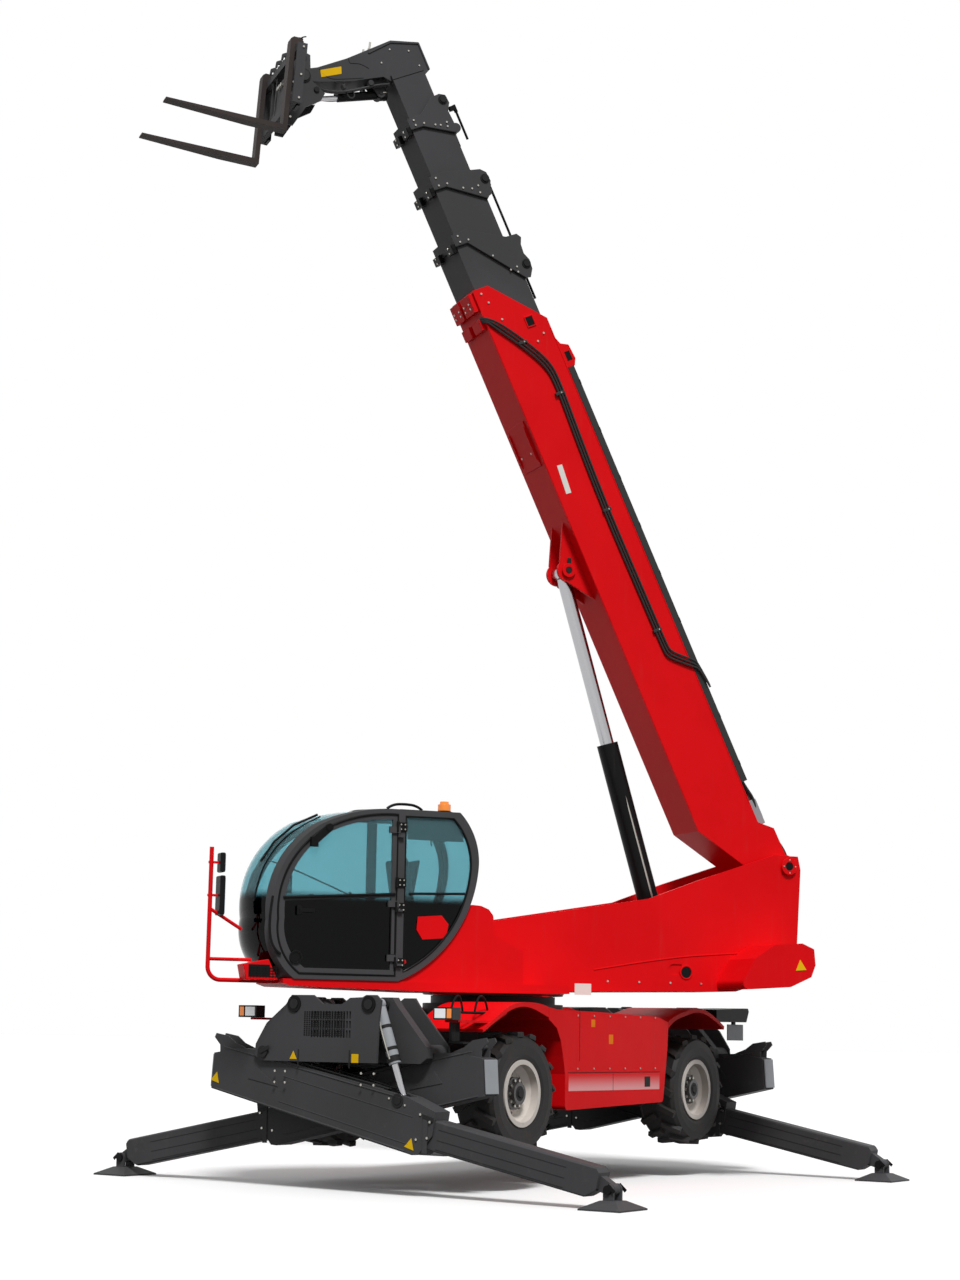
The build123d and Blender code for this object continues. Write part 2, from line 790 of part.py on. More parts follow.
with BuildPart() as door_glass:
    with BuildSketch(turret_plane(cab_left - 14)):
        add(door_light)
        with Locations((2000, belt_z)):
            Rectangle(1400, belt_width, rotation=-belt_slope, mode=Mode.SUBTRACT)
    extrude(amount=6)
keep(door_glass, "door_glass")

cab_floor = deck_top + cab_wall * (cab_centre.Y - deck_top) / cab_reach + seat_gap
with BuildPart() as seat:
    with BuildSketch(turret_plane(cab_middle)):
        with BuildLine():
            Polyline(
                (1490, cab_floor), (1440, 2230), (1280, 2250), (1130, 2960), (1160, 3060), (1230, 3060),
                (1280, 2960), (1390, 2390), (1780, 2400), (1810, 2330), (1780, 2250), (1680, 2230),
                (1720, cab_floor), close=True,
            )
        make_face()
    extrude(amount=235, both=True)
    fillet(edges().filter_by(lambda e: abs(e.tangent_at(0).dot(left)) > 0.99).sort_by(Axis.Z)[4:], 14)
keep(seat, "seat")

with BuildPart() as console:
    # steering column and wheel
    with BuildSketch(turret_plane(cab_middle)):
        with BuildLine():
            Polyline(
                (2180, cab_floor), (2150, 2280), (2040, 2530), (2090, 2550), (2240, 2300),
                (2330, cab_floor), close=True,
            )
        make_face()
    extrude(amount=70, both=True)
    wheel_at = ahead * 2050 + left * cab_middle + Vector(0, 0, 2560)
    wheel_up = ahead * -cos(radians(58)) + Vector(0, 0, sin(radians(58)))
    hub_plane = Plane(origin=wheel_at, x_dir=left, z_dir=wheel_up)
    with BuildSketch(hub_plane):
        Circle(185)
        Circle(158, mode=Mode.SUBTRACT)
        Rectangle(330, 34)
    extrude(amount=24, both=True)
    # side console by the right wall
    with BuildSketch(turret_plane(cab_right + cab_wall + 110)):
        with BuildLine():
            Polyline(
                (1520, cab_floor), (1300, 2240), (1300, 2430), (1800, 2450), (1860, 2390), (1740, cab_floor),
                close=True,
            )
        make_face()
    extrude(amount=95)
keep(console, "console")

with BuildPart() as mirror_guard:
    guard_low = 1858
    with BuildLine(turret_plane(guard_v)):
        FilletPolyline((2560, guard_low), (guard_out, guard_low), (guard_out, 3060), radius=120)
    with BuildSketch(Plane(origin=ahead * 2560 + left * guard_v + Vector(0, 0, guard_low), z_dir=ahead)):
        Circle(20)
    sweep()
    for low, high in (((guard_out, 2045), (2800, 2045)), ((guard_out, 2500), (2900, 2320))):
        with BuildLine(turret_plane(guard_v)):
            rail = Line(low, high)
        with BuildSketch(Plane(origin=rail @ 0, z_dir=rail % 0)):
            Circle(16)
        sweep(path=rail)
    for z, height, width in ((2920, 150, 110), (2620, 330, 150)):
        mirror_at = ahead * (guard_out - 95) + left * guard_v + Vector(0, 0, z)
        with Locations(Plane(origin=mirror_at, x_dir=ahead, z_dir=(0, 0, 1))):
            Box(34, width, height)
            Box(120, 22, 22, align=(Align.MIN, Align.CENTER, Align.CENTER))
keep(mirror_guard, "mirror_guard")

with BuildPart() as beacon:
    lamp_foot = ahead * beacon_u + left * (cab_left - 220) + Vector(0, 0, roof_z + seat_gap)
    with BuildSketch(Plane(origin=lamp_foot)):
        Circle(58)
    extrude(amount=42)
    with BuildSketch(Plane(origin=lamp_foot + Vector(0, 0, 42))):
        Circle(50)
    extrude(amount=75, taper=6)
keep(beacon, "beacon")

# ---------------------------------------------------------------- boom
# name, rear end, lower mouth, upper mouth, half width, bottom, top, collar start low and high
sections = [
    ("boom_1", 0, 6780, 6260, 280, -720, -30, 0, 0),
    ("boom_2", 1250, 7400, 6860, 250, -676, -70, 7270, 6730),
    ("boom_3", 1700, 8050, 7800, 222, -636, -108, 7900, 7650),
    ("boom_4", 2150, 8700, 8540, 194, -598, -146, 8580, 8420),
    ("boom_5", 2600, 9200, 9200, 166, -562, -184, 0, 0),
]
inner_sizes = {one[0]: two for one, two in zip(sections, sections[1:])}
for name, start, low_end, high_end, half, bottom, top, collar_low, collar_high in sections:
    wall = boom_wall if name == "boom_1" else 12
    mid_plane = boom_plane()
    with BuildPart() as section:
        with BuildSketch(mid_plane):
            with BuildLine():
                if name == "boom_1":
                    Polyline(
                        (-150, 80), (30, 125), (400, 118), (530, top), (high_end, top),
                        (low_end, bottom + 190), (low_end, bottom), (720, bottom), (60, -300),
                        (-140, -110), close=True,
                    )
                else:
                    Polyline(
                        (start, top), (high_end, top), (low_end, bottom + 150), (low_end, bottom),
                        (start, bottom), close=True,
                    )
            make_face()
        extrude(amount=half, both=True)
        if name == "boom_1":
            # bosses that fill the turret's cheeks, and the pivot bore
            with BuildSketch(mid_plane):
                Circle(125)
            extrude(amount=cheek_in - 6, both=True)
            with BuildSketch(mid_plane):
                Circle(pivot_pin + seat_gap)
            extrude(amount=cheek_out, both=True, mode=Mode.SUBTRACT)
            # ears under the boom for the lift cylinder
            for side in (1, -1):
                with BuildSketch(boom_plane(side * ear_in)):
                    with BuildLine():
                        Polyline(
                            (3330, bottom + 8), (3610, -925), (3850, -925), (4230, bottom + 8), close=True,
                        )
                    make_face()
                    with Locations((lift_pin_s, lift_pin_t)):
                        Circle(118)
                extrude(amount=-side * ear_thick)
                with BuildSketch(boom_plane(side * (ear_in + ear_thick))):
                    with Locations((lift_pin_s, lift_pin_t)):
                        Circle(62)
                extrude(amount=-side * 14)
        if collar_low:
            # reinforced end with its pulley lug
            with BuildSketch(mid_plane):
                with BuildLine():
                    Polyline(
                        (collar_high, top), (collar_high + 30, top + 14), (high_end, top + 14),
                        (high_end, top),
                        (low_end, bottom + 150), (low_end, bottom - 14), (collar_low, bottom - 14),
                        (collar_low, bottom + 120), close=True,
                    )
                make_face()
            extrude(amount=half + 14, both=True)
            for side in (1, -1):
                with BuildSketch(boom_plane(side * half)):
                    with Locations((high_end - 70, top + 40)):
                        Circle(52)
                    with Locations((high_end - 70, top - 20)):
                        Rectangle(130, 80)
                extrude(amount=side * 26)
            with BuildSketch(mid_plane):
                with Locations((high_end - 70, top + 40)):
                    Circle(24)
            extrude(amount=half, both=True)
        if name in inner_sizes:
            inner = inner_sizes[name]
            mouth = 150
            in_half, in_bottom, in_top = inner[4:7]
            cavity_start = 850 if name == "boom_1" else start - 10
            cut_end = min(low_end, high_end) - mouth
            with BuildSketch(mid_plane):
                with BuildLine():
                    Polyline(
                        (cavity_start, top - wall), (high_end - mouth, top - wall),
                        (low_end - mouth, bottom + 190), (low_end - mouth, bottom + wall),
                        (cavity_start, bottom + wall), close=True,
                    )
                make_face()
            extrude(amount=half - wall, both=True, mode=Mode.SUBTRACT)
            with BuildSketch(mid_plane):
                with Locations((cut_end + 500, (in_bottom + in_top) / 2)):
                    Rectangle(2600, in_top - in_bottom + 2 * seat_gap)
            extrude(amount=in_half + seat_gap, both=True, mode=Mode.SUBTRACT)
        else:
            with BuildSketch(mid_plane):
                with Locations(((start + high_end) / 2 - 60, (bottom + top) / 2)):
                    Rectangle(high_end - start, top - bottom - 2 * wall)
            extrude(amount=half - wall, both=True, mode=Mode.SUBTRACT)
            # the head turns down to the coupler
            with BuildSketch(mid_plane):
                with BuildLine():
                    Polyline(
                        (head_start, -100), (coupler_s + 10, -100), (coupler_s + 110, -400),
                        (coupler_s + 55, -950), (coupler_s + 50, -1300),
                        (coupler_s + 70, coupler_t + 70), (coupler_s - 70, coupler_t + 70),
                        (coupler_s - 110, -1300), (coupler_s - 185, -1000), (head_start + 65, -640),
                        (head_start, -575), close=True,
                    )
                make_face()
                with Locations((coupler_s, coupler_t)):
                    Circle(98)
            extrude(amount=head_half, both=True)
            with BuildSketch(mid_plane):
                with Locations((coupler_s, coupler_t)):
                    Circle(coupler_pin)
            extrude(amount=coupler_half + 40, both=True)
            # lugs for the tilt cylinder
            for side in (1, -1):
                with BuildSketch(boom_plane(side * 52)):
                    with BuildLine():
                        Polyline(
                            (head_start + 120, -600), (head_start + 120, -800),
                            (tilt_pin_s - 30, tilt_pin_t - 40),
                            (tilt_pin_s - 30, tilt_pin_t + 40), close=True,
                        )
                    make_face()
                    with Locations((tilt_pin_s, tilt_pin_t)):
                        Circle(48)
                extrude(amount=-side * 20)
            with BuildSketch(mid_plane):
                with Locations((tilt_pin_s, tilt_pin_t)):
                    Circle(20)
            extrude(amount=80, both=True)
    keep(section, name)

# ---------------------------------------------------------------- coupler and forks
bar_x = 150
bar_thick = 56
eye_local = coupler_plane().to_local_coords(boom_plane().from_local_coords(Vector(tilt_eye_s, tilt_eye_t, 0)))
with BuildPart() as carriage:
    for side in (1, -1):
        with BuildSketch(coupler_plane(side * (coupler_half + 4))):
            with BuildLine():
                Polyline(
                    (-70, 60), (-50, 235), (60, 270), (bar_x, 240), (bar_x, -560), (60, -560),
                    (-60, -330), (-210, -225), (-245, -140), (-150, -70), (-98, -40), close=True,
                )
            make_face()
            Circle(105)
            Circle(coupler_pin + seat_gap, mode=Mode.SUBTRACT)
        extrude(amount=-side * 26)
        # end plates of the frame
        with BuildSketch(coupler_plane(side * 585)):
            with BuildLine():
                Polyline(
                    (bar_x - 40, -500), (bar_x + bar_thick, -500), (bar_x + bar_thick, 140),
                    (bar_x - 40, 140), close=True,
                )
            make_face()
        extrude(amount=15, both=True)
    for low, high in ((60, 140), (-500, -410)):
        with BuildSketch(coupler_plane()):
            with Locations((bar_x + bar_thick / 2, (low + high) / 2)):
                Rectangle(bar_thick, high - low)
        extrude(amount=600, both=True)
    # middle uprights
    for v in (-300, -160, 160, 300):
        with BuildSketch(coupler_plane(v)):
            with Locations((bar_x + 16, -180)):
                Rectangle(32, 560)
        extrude(amount=16, both=True)
    # hoop over the coupler
    for side in (1, -1):
        with BuildSketch(coupler_plane(side * 163)):
            with Locations((20, 300)):
                Rectangle(70, 110)
                Rectangle(40, 60, mode=Mode.SUBTRACT)
        extrude(amount=10, both=True)
keep(carriage, "carriage")

with BuildPart() as forks:
    shank = bar_x + bar_thick + seat_gap
    fork_tip = shank + fork_thick + fork_length
    for v in (fork_left, -fork_right):
        with BuildSketch(coupler_plane(v)):
            with BuildLine():
                Polyline(
                    (shank, fork_low), (shank + 400, fork_low), (fork_tip, fork_low + fork_thick - 14),
                    (fork_tip, fork_low + fork_thick), (shank + fork_thick, fork_low + fork_thick),
                    (shank + fork_thick, 190), (shank - 70, 190), (shank - 70, 150), (shank, 150), close=True,
                )
            make_face()
        extrude(amount=fork_width / 2, both=True)
keep(forks, "forks")

# ---------------------------------------------------------------- cylinders
# name, base pin, eye pin, barrel radius, rod radius, barrel length, eye half width, base pin radius, eye bore
boom_at = boom_plane()
lift_base = turret_plane().from_local_coords(Vector(lift_foot_u, lift_foot_z, 0))
lift_eye = boom_at.from_local_coords(Vector(lift_pin_s, lift_pin_t, 0))
tilt_base = boom_at.from_local_coords(Vector(tilt_pin_s, tilt_pin_t, 0))
tilt_eye = boom_at.from_local_coords(Vector(tilt_eye_s, tilt_eye_t, 0))
cylinders = [
    ("lift", lift_base, lift_eye, 110, 72, 2380, 75, ear_in - 6, lift_foot_pin, 32, 2000),
    ("tilt", tilt_base, tilt_eye, 46, 26, 470, 44, 40, 20, 16, 300),
]
for name, base, eye, barrel_r, rod_r, barrel_end, eye_r, eye_half, base_pin, eye_bore, rod_start in cylinders:
    length = (eye - base).length
    flat = Plane(origin=base, x_dir=eye - base, z_dir=left * -1)
    out = Plane(origin=base, x_dir=left, z_dir=eye - base)
    with BuildPart() as barrel:
        with BuildSketch(flat):
            Circle(barrel_r + 8)
        extrude(amount=barrel_r - 6, both=True)
        with BuildSketch(out.offset(barrel_r * 0.8)):
            Circle(barrel_r)
        extrude(amount=barrel_end - barrel_r * 0.8)
        with BuildSketch(out.offset(barrel_r + 20)):
            Circle(rod_r + seat_gap)
        extrude(amount=barrel_end, mode=Mode.SUBTRACT)
        with BuildSketch(flat):
            Circle(base_pin + seat_gap)
        extrude(amount=2 * barrel_r, both=True, mode=Mode.SUBTRACT)
    keep(barrel, f"{name}_barrel")
    with BuildPart() as rod:
        with BuildSketch(out.offset(rod_start)):
            Circle(rod_r)
        extrude(amount=length - rod_start - eye_r * 0.8)
        with BuildSketch(flat):
            with Locations((length, 0)):
                Circle(eye_r)
        extrude(amount=eye_half, both=True)
        with BuildSketch(flat):
            with Locations((length, 0)):
                Circle(eye_bore)
        extrude(amount=2 * eye_half, both=True, mode=Mode.SUBTRACT)
    keep(rod, f"{name}_rod")
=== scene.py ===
import json
from math import cos, pi, radians, sin

import bmesh
import bpy
from mathutils import Matrix, Vector


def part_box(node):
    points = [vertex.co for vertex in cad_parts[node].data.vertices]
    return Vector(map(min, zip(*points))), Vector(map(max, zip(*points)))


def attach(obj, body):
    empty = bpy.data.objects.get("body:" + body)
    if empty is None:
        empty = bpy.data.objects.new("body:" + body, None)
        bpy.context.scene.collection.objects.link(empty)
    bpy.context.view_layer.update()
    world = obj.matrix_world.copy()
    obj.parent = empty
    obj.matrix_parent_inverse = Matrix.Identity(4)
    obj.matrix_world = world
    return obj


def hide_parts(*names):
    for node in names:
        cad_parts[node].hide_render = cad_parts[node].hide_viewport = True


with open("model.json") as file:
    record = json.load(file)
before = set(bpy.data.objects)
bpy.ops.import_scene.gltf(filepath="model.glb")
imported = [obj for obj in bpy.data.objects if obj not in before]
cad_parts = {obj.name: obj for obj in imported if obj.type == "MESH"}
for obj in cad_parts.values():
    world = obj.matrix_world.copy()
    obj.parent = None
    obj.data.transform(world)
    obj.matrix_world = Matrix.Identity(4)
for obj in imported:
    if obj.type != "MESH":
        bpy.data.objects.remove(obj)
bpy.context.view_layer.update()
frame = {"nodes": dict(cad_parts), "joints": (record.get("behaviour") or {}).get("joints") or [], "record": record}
scene = bpy.context.scene
joints = {joint["name"]: joint for joint in frame["joints"]}
mounts = {mount["name"]: mount for mount in frame["record"]["mounts"]}
print("frame loaded:", len(frame["nodes"]), "nodes")


# each space is a matrix from a sub-assembly's own axes to the frame
def space(origin, xAxis, yAxis, zAxis):
    turned = Matrix((xAxis, yAxis, zAxis)).transposed().to_4x4()
    return Matrix.Translation(origin) @ turned


up = Vector((0, 0, 1))
left = Vector(joints["coupler_tilt"]["axis"])
ahead = left.cross(up)
along = Vector(joints["telescope_head"]["axis"])
forkUp = Vector(mounts["fork_top_left"]["axis"])
pivot = Vector(joints["boom_lift"]["pos_m"])
couplerPin = Vector(joints["coupler_tilt"]["pos_m"])
rowSpace = Matrix.Identity(4)
turretSpace = space((0, 0, 0), ahead, left, up)  # u ahead, v left, z up
boomSpace = space(pivot, along, left, along.cross(left))  # s along, v left, t above
couplerSpace = space(couplerPin, left.cross(forkUp), left, forkUp)  # x along the blades, v left, y up
corners = ("front_left", "front_right", "rear_left", "rear_right")
bodySpaces = {"turret": turretSpace, "door": turretSpace, "boom": boomSpace, "coupler": couplerSpace}


def tagOf(corner):
    return "".join(part.capitalize() for part in corner.split("_"))


def legSpace(corner):  # s out along the beam, v across it, t above it
    hinge = Vector(joints["leg_swing_" + corner]["pos_m"])
    out = Vector(joints["leg_extend_" + corner]["axis"])
    side = Vector((-1, 0, 0)) if out.y > 0 else Vector((1, 0, 0))
    return space(hinge, out, side, out.cross(side))


cameraSettings = {"place": (18.953, 12.514, 1.427), "yaw": 213.91, "pitch": 9.9, "roll": 0.97, "lens": 63.2}


def aimCamera(place, yaw, pitch, roll, lens):
    data = bpy.data.cameras.new("camera")
    data.sensor_fit, data.sensor_height, data.lens = "AUTO", 36, lens
    data.clip_end = 500
    camera = bpy.data.objects.new("camera", data)
    scene.collection.objects.link(camera)
    y, p, a = radians(yaw), radians(pitch), radians(roll)
    forward = Vector((cos(y) * cos(p), sin(y) * cos(p), sin(p)))
    right = forward.cross(up).normalized()
    above = right.cross(forward)
    camera.matrix_world = space(place, cos(a) * right + sin(a) * above, cos(a) * above - sin(a) * right,
        -forward)
    scene.camera = camera


aimCamera(**cameraSettings)


# shader maths: an expression on sockets adds its Math nodes
class Socket:
    def __init__(self, build, link):
        self.build, self.link = build, link

    def maths(self, operation, other=None, swap=False):
        first, second = (other, self) if swap else (self, other)
        values = (first,) if other is None else (first, second)
        return self.build.node("ShaderNodeMath", {"operation": operation}, *values)

    def __add__(self, other): return self.maths("ADD", other)
    def __radd__(self, other): return self.maths("ADD", other)
    def __sub__(self, other): return self.maths("SUBTRACT", other)
    def __rsub__(self, other): return self.maths("SUBTRACT", other, True)
    def __mul__(self, other): return self.maths("MULTIPLY", other)
    def __pow__(self, other): return self.maths("POWER", other)


class Shader:
    def __init__(self, name):
        self.material = bpy.data.materials.new(name)
        self.material.use_nodes = True
        self.tree = self.material.node_tree
        self.surface = self.tree.nodes["Principled BSDF"]
        self.coords = self.node("ShaderNodeTexCoord", {}, output="Object")

    def node(self, kind, settings, *values, output=0, **named):
        made = self.tree.nodes.new(kind)
        for key, value in settings.items():
            setattr(made, key, value)
        for key, value in [*enumerate(values), *named.items()]:
            self.feed(made.inputs[key], value)
        return Socket(self, made.outputs[output])

    def feed(self, socket, value):
        if isinstance(value, Socket):
            self.tree.links.new(value.link, socket)
        else:
            socket.default_value = value

    def set(self, **values):
        for key, value in values.items():
            self.feed(self.surface.inputs[key.replace("_", " ")], value)
        return self

    def noise(self, scale, detail=4, rough=0.55, coords=None):
        return self.node("ShaderNodeTexNoise", {}, Vector=coords or self.coords, Scale=scale, Detail=detail,
            Roughness=rough)

    def stretched(self, scale):  # coordinates pulled along one axis, for streaks
        return self.node("ShaderNodeMapping", {}, Vector=self.coords, Scale=scale)

    def axes(self):
        split = self.node("ShaderNodeSeparateXYZ", {}, self.coords).link.node
        return [Socket(self, split.outputs[k]) for k in range(3)]

    def mix(self, factor, first, second):
        blend = self.tree.nodes.new("ShaderNodeMix")
        blend.data_type = "RGBA"
        for index, value in ((0, factor), (6, first), (7, second)):
            self.feed(blend.inputs[index], value)
        return Socket(self, blend.outputs[2])

    def band(self, value, low, high):  # 0 below low, 1 above high
        return self.node("ShaderNodeMapRange", {"interpolation_type": "SMOOTHSTEP"}, value, low, high)

    def bump(self, height, strength, distance):
        return self.node("ShaderNodeBump", {}, Strength=strength, Distance=distance, Height=height)


def colour(red, green, blue):  # screen values 0 to 255
    parts = [c / 255 for c in (red, green, blue)]
    return tuple(c / 12.92 if c <= 0.04045 else ((c + 0.055) / 1.055) ** 2.4 for c in parts) + (1.0,)


# base and second tone, roughness, coat, grime near the ground, strength of the paint's skin
paintSettings = {
    "red": ((226, 13, 20), (218, 10, 17), 0.42, 0.02, 0.08, 0.05),
    "grey": ((72, 72, 74), (66, 66, 67), 0.5, 0.02, 0.2, 0.14),
    "dark": ((44, 44, 45), (37, 37, 38), 0.5, 0.04, 0.2, 0.14),
    "fork": ((66, 58, 56), (54, 48, 47), 0.52, 0.04, 0.1, 0.16),
    "black": ((17, 17, 18), (13, 13, 14), 0.4, 0.05, 0.1, 0.06),
    "pale": ((158, 162, 166), (148, 151, 155), 0.42, 0.1, 0.3, 0.08),
    "yellow": ((236, 190, 14), (228, 180, 12), 0.5, 0.05, 0.05, 0.04),
    "orange": ((238, 130, 16), (230, 120, 12), 0.5, 0.05, 0.05, 0.04),
    "white": ((228, 226, 220), (220, 218, 212), 0.5, 0.05, 0.05, 0.04),
}


def paintedSteel(name, base, second, rough, coat, grime, skin):
    look = Shader(name + "Paint")
    tone = look.mix(look.band(look.noise(0.9, 5), 0.35, 0.7), colour(*base), colour(*second))
    low = 1 - look.band(look.axes()[2], 0.3, 1.5)
    spots = look.band(look.noise(7, 8, 0.7), 0.55, 0.72) * low * grime
    streaks = look.band(look.noise(1, 4, 0.6, look.stretched((22, 22, 1.6))), 0.55, 0.8) * 0.06
    look.set(Base_Color=look.mix(spots + streaks, tone, colour(112, 104, 96)))
    look.set(Roughness=rough + look.noise(38, 3) * 0.08 + spots * 0.3, Specular_IOR_Level=0.07)
    look.set(Coat_Weight=coat, Coat_Roughness=0.16, Normal=look.bump(look.noise(700, 2), skin, 0.0005))
    return look.material


def paleSheenBand():  # red with a painted pale sheen towards the lower edge of the side body's band
    look = Shader("paleSheenBand")
    height = look.axes()[2]
    # painted sheen: the red is mixed towards pale pink lower down the band
    sheenMask = 1 - look.band(height, 0.88, 1.06)
    look.set(Base_Color=look.mix(sheenMask * 0.7, colour(222, 13, 20), colour(244, 196, 198)))
    look.set(Roughness=0.4 + look.noise(38, 3) * 0.06, Specular_IOR_Level=0.07, Coat_Weight=0.02)
    return look.material


def wheelRadius(look):  # distance from the nearer axle's line
    x, y, z = look.axes()
    fore = joints["wheel_spin_front_left"]["pos_m"]
    aft = joints["wheel_spin_rear_left"]["pos_m"]
    nearer = ((x - fore[0]) ** 2).maths("MINIMUM", (x - aft[0]) ** 2)
    return (nearer + (z - fore[2]) ** 2) ** 0.5


def rimPaint():
    look = Shader("rimPaint")
    hub = 1 - look.band(wheelRadius(look), 0.148, 0.152)
    spots = look.band(look.noise(14, 6, 0.7), 0.55, 0.75) * 0.35
    tone = look.mix(spots, colour(196, 188, 180), colour(146, 136, 128))
    look.set(Base_Color=look.mix(hub, tone, colour(34, 30, 30)), Roughness=0.36 + spots * 0.4)
    look.set(Coat_Weight=0.2, Normal=look.bump(look.noise(120, 3), 0.1, 0.001))
    return look.material


def rubber():
    look = Shader("tyreRubber")
    radius = wheelRadius(look)
    treadTop = look.band(radius, 0.535, 0.556)
    dust = look.band(look.noise(9, 8, 0.7), 0.45, 0.8) * (1 - treadTop) * 0.3
    tone = look.mix(treadTop, colour(21, 20, 20), colour(38, 34, 33))
    rings = (radius * 900).maths("SINE")
    side = look.band(radius, 0.33, 0.34) * (1 - look.band(radius, 0.47, 0.48))
    look.set(Base_Color=look.mix(dust, tone, colour(74, 64, 56)), Roughness=0.62 + dust * 0.3,
        Specular_IOR_Level=0.3)
    look.set(Normal=look.bump(rings * side * 0.3 + look.noise(160, 4), 0.35, 0.002))
    return look.material


def metal(name, tone, rough, streakScale=60):
    look = Shader(name)
    streak = look.noise(streakScale, 3)
    look.set(Base_Color=colour(*tone), Metallic=1.0, Roughness=rough + streak * 0.12)
    look.set(Normal=look.bump(streak, 0.05, 0.0006))
    return look.material


def glass():  # a pale cyan tint above the belt, made brighter as a painted highlight; nearly black below
    look = Shader("tintAndHighlightGlass")
    height = look.axes()[2]
    lower = 1 - look.band(height, 2.60, 2.70)
    smear = look.band(look.noise(3, 5), 0.5, 0.75)
    # the pale upper colour is partly real tint and partly a painted highlight
    look.set(Base_Color=look.mix(lower, colour(160, 208, 216), colour(5, 9, 10)))
    look.set(Roughness=0.02 + smear * 0.03, Transmission_Weight=0.9, IOR=1.22)
    return look.material


def plastic(name, tone, rough, grain=420):
    look = Shader(name)
    spots = look.noise(5, 4)
    darker = tuple(c * 0.8 for c in tone)
    look.set(Base_Color=look.mix(spots, colour(*tone), colour(*darker)), Roughness=rough + spots * 0.1)
    look.set(Normal=look.bump(look.noise(grain, 2), 0.25, 0.0008), Specular_IOR_Level=0.35)
    return look.material


def lens(name, tone, glow):
    look = Shader(name)
    x, y, z = look.axes()
    ribs = ((z + x * 0.2) * 620).maths("SINE")
    look.set(Base_Color=colour(*tone), Roughness=0.1 + look.noise(30) * 0.05, Coat_Weight=0.6)
    look.set(Emission_Color=colour(*tone), Emission_Strength=glow, Normal=look.bump(ribs, 0.3, 0.001))
    return look.material


def seatFabric():
    look = Shader("seatFabric")
    weave = look.node("ShaderNodeTexVoronoi", {}, Vector=look.coords, Scale=420)
    look.set(Base_Color=look.mix(weave, colour(34, 34, 38), colour(54, 54, 58)), Roughness=0.8 + weave * 0.1)
    look.set(Sheen_Weight=0.2, Normal=look.bump(weave, 0.4, 0.001))
    return look.material


materials = {name: paintedSteel(name, *values) for name, values in paintSettings.items()}
materials.update({
    "band": paleSheenBand(), "rim": rimPaint(), "rubber": rubber(), "chrome": metal("chromedRod", (172, 172, 175),
    0.14),
    "zinc": metal("zincBolt", (168, 166, 158), 0.3, 300), "mirror": metal("mirrorGlass", (188, 198, 206),
    0.02),
    "glass": glass(), "plastic": plastic("blackPlastic", (26, 26, 28), 0.5),
    "hose": plastic("hoseRubber", (18, 18, 19), 0.5, 900), "trim": plastic("greyPlastic", (96, 94, 88), 0.55),
    "screen": plastic("screenGlass", (20, 34, 40), 0.12, 50), "fabric": seatFabric(),
    "lamp": lens("lampLens", (232, 234, 236), 0.2), "amber": lens("amberLens", (240, 132, 14), 0.25),
    "redLens": lens("redLens", (196, 16, 14), 0.2),
})
print("materials made:", len(materials))

nodeLooks = {
    "red": ("side_bodies", "fenders", "turret_frame", "counterweight", "boom_1", "mirror_guard"),
    "grey": ("chassis_frame", "boom_2", "boom_3", "boom_4", "boom_5", "carriage", "leg_housing", "leg_beam",
             "leg_foot", "cab_frame", "door"),
    "dark": ("axles", "knuckle", "slew_ring", "engine_block"), "fork": ("forks",),
    "black": ("lift_barrel", "tilt_barrel"), "pale": ("leg_barrel",), "chrome": ("lift_rod", "tilt_rod",
    "leg_rod"),
    "rim": ("rim",), "rubber": ("tyre",), "glass": ("cab_glass", "door_glass"),
    "fabric": ("seat",), "plastic": ("console", "headlamps"), "amber": ("beacon",),
}
lookOf = {stem: name for name, stems in nodeLooks.items() for stem in stems}
for nodeName, node in frame["nodes"].items():
    stem = nodeName
    for corner in corners:
        stem = stem.removesuffix("_" + corner)
    node.data.materials.clear()
    node.data.materials.append(materials[lookOf[stem]])


# how many leading arguments of a shape hold places or widths across the middle
turnedItems = {"box": 1, "drum": 2, "ring": 2, "plate": 3, "tube": 1, "bolts": 2}


def turnOver(item, side):  # a width, a place or a list of places; an outline's points stay
    if isinstance(item, (int, float)):
        return side * item
    if isinstance(item, list):
        return [turnOver(point, side) for point in item]
    return (item[0], side * item[1], item[2]) if len(item) == 3 else item


